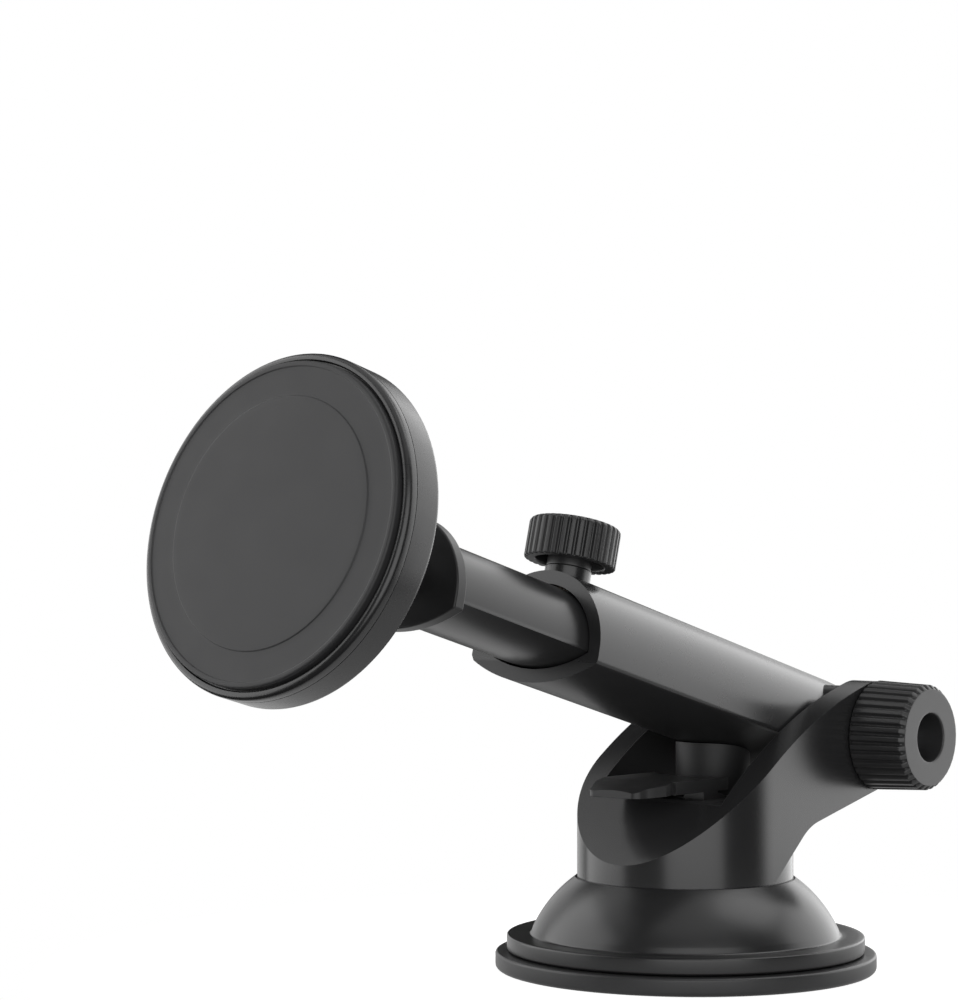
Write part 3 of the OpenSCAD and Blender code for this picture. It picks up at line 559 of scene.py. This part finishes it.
class HolderStage(bpy.types.PropertyGroup):
    """Light and camera."""
    camera_place: bpy.props.FloatVectorProperty(
        name="Camera", description="Place of the camera", default=(0.311756, -0.420304, 0.078332),
        subtype="TRANSLATION")
    camera_turn: bpy.props.FloatProperty(
        name="Camera turn", description="Turn of the camera from +Y towards -X",
        default=math.radians(40.714), subtype="ANGLE")
    camera_pitch: bpy.props.FloatProperty(
        name="Camera pitch", description="Angle of the view above level", default=math.radians(0.823),
        subtype="ANGLE")
    focal_heights: bpy.props.FloatProperty(
        name="Focal length", description="Focal length in heights of the picture", default=2.83612)
    floor_colour: bpy.props.FloatVectorProperty(
        name="Floor", description="Colour of the floor", default=(0.5, 0.5, 0.5), subtype="COLOR")
    lamp_level: bpy.props.FloatProperty(
        name="Lamp level", description="Strength of all lamps together", default=1.0, min=0.1, max=4)
    fill_level: bpy.props.FloatProperty(
        name="Fill level", description="Light of the world on the holder, where 1 is white",
        default=0.17, min=0, max=1)


# Pieces

class PieceOperator:
    """Shared settings of the operators."""
    bl_options = {"REGISTER", "UNDO"}


class HOLDER_OT_suction_pad(PieceOperator, bpy.types.Operator):
    """Adds the rubber suction pad, whose middle is bonded to the stem's plate and moves with it"""
    bl_idname = "holder.suction_pad"
    bl_label = "Suction pad"

    def execute(self, context):
        low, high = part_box("suction_pad")
        r, top = high.x, high.z
        rim = top - 0.2 * MM
        shell_r, seam, slit, lip_r, chamber_r, ceiling = mm(31, 13.25, 0.05, 22, 18, 1.6)
        ring = rounded([
            (seam + slit, top), (shell_r, top, 0.05 * MM), (shell_r, rim, 0.05 * MM), (r, rim, 0.5 * MM),
            (r, low.z, 0.9 * MM), (lip_r, low.z, 0.2 * MM), (chamber_r, ceiling, 1 * MM),
            (seam + slit, ceiling)], steps=8, closed=True)
        add_piece("suction_pad_skin", turned_mesh(ring, 1.5 * MM, 256, WORLD, closed=True), "suction_pad")
        middle = rounded([(0, top), (seam, top, 0.1 * MM), (seam, ceiling, 0.1 * MM), (0, ceiling)])
        add_piece("suction_pad_middle", turned_mesh(middle, 1.5 * MM, 256, WORLD), "suction_pad",
                  body=BODY_OF["stem_plate"])
        return {"FINISHED"}


class HOLDER_OT_base_shell(PieceOperator, bpy.types.Operator):
    """Adds the domed base shell with its flange"""
    bl_idname = "holder.base_shell"
    bl_label = "Base shell"

    def execute(self, context):
        low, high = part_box("base_shell")
        arc_x, arc_z, arc_r, wall, deck_r, bore_r = mm(6.4, -2.8, 23.85, 2.5, 15, 3.2)
        flange_top = low.z + 2.9 * MM
        edge = 0.35 * MM

        def arc(radius, z_from, z_to, count):
            """Points of the dome's circle between two heights."""
            ends = [math.asin((z - arc_z) / radius) for z in (z_from, z_to)]
            angle = np.linspace(ends[0], ends[1], count)
            return np.column_stack([arc_x + radius * np.cos(angle), arc_z + radius * np.sin(angle)])

        outer = arc(arc_r, flange_top + 0.5 * MM, high.z - edge, 40)
        inner = arc(arc_r - wall, high.z - wall, low.z, 30)
        top_r = arc_x + math.sqrt(arc_r ** 2 - (high.z - arc_z) ** 2)
        flange = rounded([
            (inner[-1][0], low.z), (high.x, low.z, 0.4 * MM), (high.x, flange_top, edge),
            (outer[0][0] + 0.1 * MM, flange_top, 0.5 * MM), tuple(outer[2])], steps=8)
        crown = rounded([tuple(outer[-3]), (top_r + 0.05 * MM, high.z, edge), (deck_r, high.z)], steps=6)
        bore = np.array([[bore_r, high.z], [bore_r, high.z - wall]])
        profile = np.concatenate([flange, outer[3:-3], crown, bore, inner[:-1]])
        add_piece("base_shell_moulding", turned_mesh(profile, 1.2 * MM, 256, WORLD, closed=True),
                  "base_shell")
        return {"FINISHED"}


class HOLDER_OT_bracket(PieceOperator, bpy.types.Operator):
    """Adds the bracket with its two ears"""
    bl_idname = "holder.bracket"
    bl_label = "Bracket"

    def execute(self, context):
        moulded_copy("bracket", context.scene.holder_shape.moulding_edge)
        return {"FINISHED"}


class HOLDER_OT_lever(PieceOperator, bpy.types.Operator):
    """Adds the lock lever"""
    bl_idname = "holder.lever"
    bl_label = "Lever"

    def execute(self, context):
        mesh = welded_copy("lever")
        self.shape_tip(mesh)
        soften(add_piece("lever_moulding", mesh, "lever"), 0.4 * MM)
        return {"FINISHED"}

    def shape_tip(self, mesh):
        """Crowns the finger tip and draws its corners in.

        s runs from 0 at the tip's root to 1 at its end, e is the square of the last 45% of s, and w is the
        tip's half width. y falls by 0.8 mm times s, x is scaled by 1 + 0.06 s - 0.14 e, and the top falls
        by 0.5 mm times s (x / w)^2 plus 0.55 mm times e, while the underside rises by 0.15 mm times e.
        """
        low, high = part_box("lever")
        root, half_w, reach, crown, nose, lift = mm(-14.2, 5.8, 0.8, 0.5, 0.55, 0.15)
        work = bmesh.new()
        work.from_mesh(mesh)
        cuts = [((0, y, 0), (0, 1, 0)) for y in np.linspace(low.y + 0.3 * MM, root, 14)]
        cuts += [((x, 0, 0), (1, 0, 0)) for x in np.linspace(-5.4, 5.4, 13) * MM]
        for spot, normal in cuts:
            tip = [f for f in work.faces if f.calc_center_median().y < root]
            parts = tip + list({e for f in tip for e in f.edges}) + list({v for f in tip for v in f.verts})
            bmesh.ops.bisect_plane(work, geom=parts, plane_co=spot, plane_no=normal, dist=0.0001 * MM)
        work.to_mesh(mesh)
        work.free()
        points = points_of(mesh)
        s = np.clip((root - points[:, 1]) / (root - low.y), 0, 1)
        e = np.clip((s - 0.55) / 0.45, 0, 1) ** 2
        on_top = points[:, 2] > high.z - 1.5 * MM
        fall = crown * s * (points[:, 0] / half_w) ** 2 + nose * e
        points[:, 2] -= np.where(on_top, fall, -lift * e)
        points[:, 0] *= 1 + 0.06 * s - 0.14 * e
        points[:, 1] -= reach * s
        mesh.vertices.foreach_set("co", points.ravel())
        mesh.update()
        mesh.shade_smooth()


class HOLDER_OT_arm(PieceOperator, bpy.types.Operator):
    """Adds the two tubes, the hinge barrel and the end collar"""
    bl_idname = "holder.arm"
    bl_label = "Arm"

    def execute(self, context):
        self.round_belly(moulded_copy("outer_tube", 0.3 * MM))
        moulded_copy("inner_tube", 0.25 * MM, 2)
        moulded_copy("end_collar", 0.4 * MM)
        moulded_copy("hinge_barrel", 0.3 * MM, 2)
        return {"FINISHED"}

    def round_belly(self, tube):
        """A larger rounding where the tube's sides turn into its belly, before that of the other edges."""
        points = points_of(tube.data)
        height = (points - HINGE) @ OFF_ARM
        crease = (np.abs(points[:, 0]) > 14.0 * MM) & (np.abs(height + BELLY_LINE) < 0.15 * MM)
        group = tube.vertex_groups.new(name="belly_crease")
        group.add(np.flatnonzero(crease).tolist(), 1.0, "REPLACE")
        bevel = tube.modifiers.new("belly_rounding", "BEVEL")
        bevel.limit_method = "VGROUP"
        bevel.vertex_group = group.name
        bevel.width = 1.3 * MM
        bevel.segments = 5
        tube.modifiers.move(1, 0)


class HOLDER_OT_tilt_knob(PieceOperator, bpy.types.Operator):
    """Adds the knurled knob of the hinge"""
    bl_idname = "holder.tilt_knob"
    bl_label = "Tilt knob"

    def execute(self, context):
        sizes = context.scene.holder_shape
        low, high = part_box("tilt_knob")
        back, front = low.x, high.x
        back_r, edge_r, face_r, chamfer, bore_r, bolt_r = mm(10.25, 9.8, 8.95, 0.9, 4.5, 2.75)
        washer_r, washer_depth, pocket_r, pocket_from, pocket_to = mm(5.85, 0.65, 4.7, 1.25, 5.25)
        profile = rounded([
            (bolt_r, back + washer_depth), (washer_r, back + washer_depth), (washer_r, back, 0.1 * MM),
            (back_r, back, 0.3 * MM), (edge_r, front - chamfer, 0.35 * MM), (face_r, front, 0.25 * MM),
            (bore_r, front, 0.3 * MM), (bore_r, back + pocket_to), (pocket_r, back + pocket_to),
            (pocket_r, back + pocket_from), (bolt_r, back + pocket_from)], steps=7, closed=True)

        def fade(r, z):
            """Grooves lie on the rim and run out on the chamfer."""
            return (step_between(r, face_r - 0.1 * MM, edge_r - 0.15 * MM)
                    * step_between(z, back, back + 0.05 * MM))

        ripple = grooves(sizes.tilt_grooves, sizes.knob_groove, 0.42, fade)
        mesh = turned_mesh(profile, 0.5 * MM, sizes.tilt_grooves * 18, HINGE_FRAME, ripple, closed=True)
        add_piece("tilt_knob_moulding", mesh, "tilt_knob", sharp=50)
        return {"FINISHED"}


class HOLDER_OT_clamp_knob(PieceOperator, bpy.types.Operator):
    """Adds the knurled knob that clamps the arm's length"""
    bl_idname = "holder.clamp_knob"
    bl_label = "Clamp knob"

    def execute(self, context):
        sizes = context.scene.holder_shape
        rim_r, rim_low, rim_high, hollow_r, hollow_top = mm(8.1, 13.9, 21.1, 6.1, 17.7)
        neck_r, neck_low, bore_r, bore_top = mm(3.9, 12.95, 2.0, 19.4)
        profile = rounded([
            (0, rim_high - 0.25 * MM), (rim_r - 2.2 * MM, rim_high - 0.2 * MM, 1.5 * MM),
            (rim_r - 1.7 * MM, rim_high, 0.4 * MM), (rim_r, rim_high, 0.95 * MM), (rim_r, rim_low, 0.3 * MM),
            (hollow_r, rim_low, 0.3 * MM), (hollow_r, hollow_top, 0.5 * MM), (neck_r, hollow_top, 0.5 * MM),
            (neck_r, neck_low, 0.2 * MM), (bore_r, neck_low, 0.1 * MM), (bore_r, bore_top), (0, bore_top)],
            steps=8)

        def fade(r, z):
            """Grooves lie on the rim and run out on its rounded upper edge."""
            return step_between(r, rim_r - 0.9 * MM, rim_r - 0.35 * MM)

        ripple = grooves(sizes.clamp_grooves, sizes.knob_groove * 0.9, 0.42, fade)
        mesh = turned_mesh(profile, 0.5 * MM, sizes.clamp_grooves * 18, CLAMP_FRAME, ripple)
        add_piece("clamp_knob_moulding", mesh, "clamp_knob", sharp=50)
        return {"FINISHED"}


class HOLDER_OT_ball_joint(PieceOperator, bpy.types.Operator):
    """Adds the ball and the ring nut"""
    bl_idname = "holder.ball_joint"
    bl_label = "Ball joint"

    def execute(self, context):
        self.add_ball()
        self.add_nut(context.scene.holder_shape.nut_grooves)
        return {"FINISHED"}

    def add_ball(self):
        ball_r, neck_r, shoulder_r, reach, thread_r, tail = mm(7.5, 3, 4, 11, 2.5, 19.5)
        neck_at = -math.sqrt(ball_r ** 2 - neck_r ** 2)
        shoulder = 1 * MM - reach
        angle = np.linspace(0, math.pi - math.asin(neck_r / ball_r), 60)
        ball = np.column_stack([ball_r * np.sin(angle), ball_r * np.cos(angle)])
        neck = rounded([
            (neck_r, neck_at - 0.3 * MM), (neck_r, shoulder, 0.3 * MM), (shoulder_r, shoulder, 0.15 * MM),
            (shoulder_r, -reach, 0.1 * MM), (thread_r, -reach), (thread_r, -tail, 0.3 * MM), (0, -tail)])
        mesh = turned_mesh(np.concatenate([ball, neck]), 0.8 * MM, 128, BALL_FRAME)
        add_piece("ball_stud_turned", mesh, "ball_stud", sharp=40)

    def add_nut(self, count):
        """The nut's cup is part of a sphere about the ball, from its lip to the rear of the head's hub."""
        nut_r, lip_r, rear, front, cone = mm(13.6, 8.75, -6.42, 9.7, 3.2)
        hub_r, hub_rear, cup_r = mm(11.65, -2.15, 9.6)
        lip_angle = math.radians(132)
        angle = np.linspace(lip_angle, math.pi / 2 + math.asin(-hub_rear / cup_r), 16)
        cup = np.column_stack([cup_r * np.sin(angle), cup_r * np.cos(angle)])
        shell = rounded([
            (hub_r, hub_rear), (hub_r, front, 0.2 * MM), (nut_r, front, 0.6 * MM),
            (nut_r, rear + cone, 1.2 * MM), (lip_r, rear, 0.4 * MM), tuple(cup[0])], steps=8)

        def fade(r, z):
            """Grooves lie on the cylinder and run out on the cone."""
            return step_between(r, nut_r - 1.6 * MM, nut_r - 0.5 * MM)

        ripple = grooves(count, 0.75 * MM, 0.4, fade)
        mesh = turned_mesh(np.concatenate([shell, cup[1:]]), 0.6 * MM, count * 16, BALL_FRAME, ripple,
                           closed=True)
        add_piece("ring_nut_moulding", mesh, "ring_nut", sharp=50)


class HOLDER_OT_head(PieceOperator, bpy.types.Operator):
    """Adds the magnetic head with its silicone face"""
    bl_idname = "holder.head"
    bl_label = "Head"
    face_r = 26.4 * MM
    cover_front = 18.7 * MM

    def execute(self, context):
        moulded_copy("head_shell", 0.25 * MM, 2, 32)
        self.add_cover()
        self.add_face()
        return {"FINISHED"}

    def add_cover(self):
        """The cover has a dished front for the face, and four posts for the screws behind it."""
        head_r, seam, dish, post_r, post_low = mm(28, 16.7, 0.5, 2.95, 13.2)
        front = self.cover_front
        cover = rounded([
            (0, seam), (head_r, seam, 0.2 * MM), (head_r, front, 0.9 * MM),
            (self.face_r + 0.35 * MM, front, 0.15 * MM), (self.face_r + 0.25 * MM, front - dish, 0.1 * MM),
            (0, front - dish)], steps=8)
        post = np.array([[0, post_low], [post_r, post_low], [post_r, seam], [0, seam]])
        meshes = [turned_mesh(cover, 1.5 * MM, 256, BALL_FRAME)]
        meshes += [turned_mesh(post, 5 * MM, 32, local_frame(spot, ALONG_ARM, X_AXIS))
                   for spot in four_spots(HEAD_SCREW_CIRCLE, 0, BALL_FRAME)]
        add_piece("front_cover_moulding", join_meshes(meshes), "front_cover", sharp=40)

    def add_face(self):
        """A flat pad with a shallow ring pressed into it."""
        front, press, slope = mm(19.7, 0.15, 0.15)
        back = self.cover_front - 0.45 * MM
        ring_outer, ring_inner = mm(25.5, 20.5)
        face = rounded([
            (0, back), (self.face_r, back), (self.face_r, front, 0.45 * MM), (ring_outer, front, 0.2 * MM),
            (ring_outer - slope, front - press, 0.2 * MM), (ring_inner + slope, front - press, 0.2 * MM),
            (ring_inner, front, 0.2 * MM), (0, front)])
        add_piece("face_pad_skin", turned_mesh(face, 1.2 * MM, 256, BALL_FRAME), "face_pad", sharp=60)


class HOLDER_OT_hardware(PieceOperator, bpy.types.Operator):
    """Adds the spring and finishes the bought-in metal pieces"""
    bl_idname = "holder.hardware"
    bl_label = "Hardware"

    def execute(self, context):
        self.add_spring(context.scene.holder_shape.spring_turns)
        self.add_bolt()
        self.add_screws()
        for node in ("tilt_nut", "stud_nut"):
            moulded_copy(node, 0.25 * MM, 2)
        return {"FINISHED"}

    def add_bolt(self):
        """Hexagon bolt. Its head is a hexagon cut by a cone: r is the lesser of the row's radius and
        flats / 2 / cos(a), where a is the angle from the middle of a flat, and the face falls back by 0.55
        times what r has over the cone's start. The middle of the face is dished."""
        low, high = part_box("hinge_bolt")
        flats, shank_r, head_h, cone_r, dish = mm(8, 2.5, 3.34, 3.75, 0.3)
        columns = 144
        edge = flats / 2 / np.cos(full_turn(columns) % (np.pi / 3) - np.pi / 6)
        rows = np.array(mm(0, 1.6, 2.4, 2.6, 2.8, 3.3, 3.7, 3.8, 4.0, 4.2, 4.4, 4.7))[:, None]
        r = np.minimum(rows, edge)
        face = (low.x + dish * (1 - step_between(r, 2.4 * MM, 2.8 * MM))
                + np.maximum(r - cone_r, 0) * 0.55)
        under = low.x + head_h
        flanks = np.stack([face[-1] + 0.02 * MM, np.full(columns, under)])
        shank = denser(rounded([(flats / 2 * 0.98, under), (shank_r, under, 0.2 * MM),
                                (shank_r, high.x, 0.4 * MM), (0, high.x)]), 2 * MM)
        r = np.concatenate([r, [edge, edge], np.repeat(shank[:, :1], columns, axis=1)])
        height = np.concatenate([face, flanks, np.repeat(shank[:, 1:], columns, axis=1)])
        mesh = tidy_mesh(grid_mesh(turned_grid(r, height, HINGE_FRAME)))
        add_piece("hinge_bolt_forged", mesh, "hinge_bolt", sharp=35)

    def add_screws(self):
        """The sunk and pan-headed screws, each where its CAD node has it."""
        barrel_middle = HINGE + 11 * MM * ALONG_ARM - (8.6 - 1.9) * MM * OFF_ARM
        sets = [
            ("head_screws", four_spots(HEAD_SCREW_CIRCLE, 12.2 * MM, BALL_FRAME), ALONG_ARM, 0.9, 4.45),
            ("bracket_screws", four_spots(14 * MM, 14.2 * MM, WORLD), Z_AXIS, 1.7, 9),
            ("barrel_screws", [barrel_middle + x * MM * X_AXIS for x in (-4.5, 4.5)], OFF_ARM, 0.9, 7),
        ]
        for node, spots, drive, head_h, length in sets:
            meshes = [self.screw(local_frame(spot, drive, X_AXIS), head_h * MM, length * MM)
                      for spot in spots]
            add_piece(node + "_turned", join_meshes(meshes), node, sharp=40)

    def screw(self, where, head_h, length):
        """A screw with a cross recess, whose edge is r = 0.45 + 0.95 |cos 2a|^2.5 mm about its axis."""
        head_r, recess_rim, shank_r, columns = 2.6 * MM, 1.6 * MM, 1.45 * MM, 64
        cross = (0.45 + 0.95 * np.abs(np.cos(2 * full_turn(columns))) ** 2.5) * MM
        floor, top = -head_h + head_h * 0.62, -head_h + 0.05 * MM
        body = denser(rounded([
            (recess_rim, -head_h), (head_r, -head_h, 0.35 * MM), (head_r, 0, 0.1 * MM),
            (shank_r, 0, 0.1 * MM), (shank_r, length, 0.3 * MM), (0, length)], steps=5), 1.5 * MM)
        r = np.concatenate([[cross * 0, cross * 0.72, cross], np.repeat(body[:, :1], columns, axis=1)])
        height = np.repeat(np.concatenate([[floor, floor, top], body[:, 1]])[:, None], columns, axis=1)
        return tidy_mesh(grid_mesh(turned_grid(r, height, where)))

    def add_spring(self, turns):
        """The wire's centre climbs a helix, and its section turns about that centre."""
        low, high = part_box("stem_spring")
        wire, steps, sides = 0.55 * MM, 220, 10
        coil_r = high.x - wire - 0.05 * MM
        along = np.linspace(0, 1, steps)[:, None]
        angle = 2 * np.pi * turns * along
        climb = low.z + wire + (high.z - low.z - 2 * wire) * along
        section = full_turn(sides)[None]
        out = coil_r + wire * np.cos(section)
        grid = np.stack([out * np.cos(angle), out * np.sin(angle), climb + wire * np.sin(section)], axis=-1)
        caps = [np.repeat(grid[i].mean(axis=0)[None, None], sides, axis=1) for i in (0, -1)]
        mesh = tidy_mesh(grid_mesh(np.concatenate([caps[0], grid, caps[1]])))
        add_piece("stem_spring_coil", mesh, "stem_spring")


class HOLDER_OT_finishes(PieceOperator, bpy.types.Operator):
    """Gives every CAD node that still shows its material"""
    bl_idname = "holder.finishes"
    bl_label = "Finishes"

    def execute(self, context):
        for name, node in frame["nodes"].items():
            node.data.materials.clear()
            node.data.materials.append(finish_of(name))
        return {"FINISHED"}


# Stage

class HOLDER_OT_stage(PieceOperator, bpy.types.Operator):
    """Adds the floor, the lamps, the world and the camera"""
    bl_idname = "holder.stage"
    bl_label = "Stage"

    def execute(self, context):
        stage = context.scene.holder_stage
        self.add_camera(context, stage)
        self.add_floor(stage)
        self.add_flags()
        self.add_world(context, stage)
        self.add_lamps(stage)
        context.scene.view_settings.view_transform = "Standard"
        return {"FINISHED"}

    def add_camera(self, context, stage):
        data = bpy.data.cameras.new("camera")
        data.sensor_width = 36  # spans the picture's longer side, its height
        data.lens = stage.focal_heights * data.sensor_width
        data.clip_start = 10 * MM
        camera = show("camera", data)
        turn, pitch = stage.camera_turn, stage.camera_pitch
        view = Vector((-math.sin(turn) * math.cos(pitch), math.cos(turn) * math.cos(pitch), math.sin(pitch)))
        camera.location = stage.camera_place
        camera.rotation_euler = view.to_track_quat("-Z", "Y").to_euler()
        context.scene.camera = camera

    def add_floor(self, stage):
        """A white round table top that fades into the white world at its edge."""
        radius, sides, drop, fade_from, fade_over = 0.12, 96, 0.05 * MM, 0.07, 0.05
        seen_glow, mirrored_glow = 0.85, 0.5
        mesh = bpy.data.meshes.new("floor")
        mesh.from_pydata(on_circle(radius, full_turn(sides), -drop), [], [tuple(range(sides))])
        shader = Shader("floor")
        camera, glossy, through = shader.light_path()
        distance = shader.node("ShaderNodeVectorMath", {"operation": "LENGTH"}, shader.coordinates(),
                               output="Value")
        edge = ((distance - fade_from) * (1 / fade_over)).clamped(0, 1)
        glow = ((camera * seen_glow + (glossy + through) * mirrored_glow) * (1 - edge)
                + edge * (camera + glossy + through))
        mesh.materials.append(shader.output(shader.principled(
            Base_Color=shader.blend(edge, stage.floor_colour, BLACK), Roughness=1.0, Specular_IOR_Level=0.0,
            Emission_Color=shader.blend(glow, BLACK, WHITE), Emission_Strength=1.0)))
        show("floor", mesh)

    def add_flags(self):
        """Dark cards round the set, which stand in the holder's reflections as dark gaps.

        The upright ones are strips of a cylinder about the z axis: name, first and last azimuth in degrees,
        and lower and upper height. The last card is the ground round the table.
        """
        radius, low = 1.8, -0.8
        walls = [
            ("wall_flag", -150, 34, low, 2.2),
            ("low_flag", -190, -150, low, 1.5),
            ("high_flag", 130, 166, 0.9, 3.2),
            ("back_flag", 122, 139, low, 0.9),
        ]
        cards = {}
        for name, first, last, bottom, top in walls:
            azimuth = np.radians(np.linspace(first, last, 60))
            cards[name] = np.stack([on_circle(radius, azimuth, height) for height in (bottom, top)])
        cards["ground_flag"] = np.stack([on_circle(r, full_turn(60), low) for r in (radius, radius / 100)])
        shader = Shader("flag")
        dark = shader.output(shader.principled(Base_Color=(0.01, 0.01, 0.01, 1), Roughness=1.0,
                                               Specular_IOR_Level=0.0))
        for name, grid in cards.items():
            mesh = grid_mesh(grid, columns_closed=name == "ground_flag")
            mesh.materials.append(dark)
            flag = show(name, mesh)
            flag.visible_camera = False
            flag.visible_shadow = False

    def add_world(self, context, stage):
        """White to the camera and in reflections, and a weaker fill light for everything else."""
        world = bpy.data.worlds.new("world")
        shader = Shader("world", world)
        camera, glossy, through = shader.light_path()
        seen = (camera + glossy + through).clamped(0, 1)
        colour = shader.blend(seen, lighter(WHITE, stage.fill_level), WHITE)
        background = shader.node("ShaderNodeBackground", None, Color=colour, Strength=1.0)
        context.scene.world = shader.output(background, "ShaderNodeOutputWorld")

    def add_lamps(self, stage):
        """Softboxes: name, azimuth from +X and elevation in degrees, width, height and radiance.

        The dark gaps between them are what draws the edges of the holder's upright surfaces.
        """
        softboxes = [
            ("left_box", -152, 12, 1.5, 1.6, 2.7),
            ("right_box", -42, 8, 1.5, 1.4, 2.7),
            ("back_box", 75, 8, 1.6, 1.4, 1.65),
            ("top_box", 45, 58, 0.7, 0.7, 2.2),
        ]
        target, distance = Vector((0, -0.04, 0.05)), 1.2
        for name, azimuth, elevation, width, height, radiance in softboxes:
            a, e = math.radians(azimuth), math.radians(elevation)
            away = Vector((math.cos(a) * math.cos(e), math.sin(a) * math.cos(e), math.sin(e)))
            data = bpy.data.lights.new(name, "AREA")
            data.shape = "RECTANGLE"
            data.size, data.size_y = width, height
            data.energy = radiance * math.pi * width * height * stage.lamp_level
            lamp = show(name, data)
            lamp.location = target + away * distance
            lamp.rotation_euler = (-away).to_track_quat("-Z", "Y").to_euler()
            lamp.visible_camera = False


PIECES = (
    HOLDER_OT_suction_pad, HOLDER_OT_base_shell, HOLDER_OT_bracket, HOLDER_OT_lever, HOLDER_OT_arm,
    HOLDER_OT_tilt_knob, HOLDER_OT_clamp_knob, HOLDER_OT_ball_joint, HOLDER_OT_head, HOLDER_OT_hardware,
)
OPERATORS = (HOLDER_OT_finishes,) + PIECES + (HOLDER_OT_stage,)


class HOLDER_PT_panel(bpy.types.Panel):
    """Lists the pieces and their sizes"""
    bl_idname = "HOLDER_PT_panel"
    bl_label = "Phone holder"
    bl_space_type = "VIEW_3D"
    bl_region_type = "UI"
    bl_category = "Holder"

    def draw(self, context):
        column = self.layout.column()
        for operator in OPERATORS:
            column.operator(operator.bl_idname)
        for settings in (context.scene.holder_shape, context.scene.holder_stage):
            for name in settings.__annotations__:
                column.prop(settings, name)


CLASSES = (HolderShape, HolderStage) + OPERATORS + (HOLDER_PT_panel,)


def register():
    for cls in CLASSES:
        bpy.utils.register_class(cls)
    bpy.types.Scene.holder_shape = bpy.props.PointerProperty(type=HolderShape)
    bpy.types.Scene.holder_stage = bpy.props.PointerProperty(type=HolderStage)


def unregister():
    del bpy.types.Scene.holder_stage
    del bpy.types.Scene.holder_shape
    for cls in reversed(CLASSES):
        bpy.utils.unregister_class(cls)


def main():
    register()
    for operator in OPERATORS:
        group, name = operator.bl_idname.split(".")
        getattr(getattr(bpy.ops, group), name)()


if __name__ == "__main__":
    main()
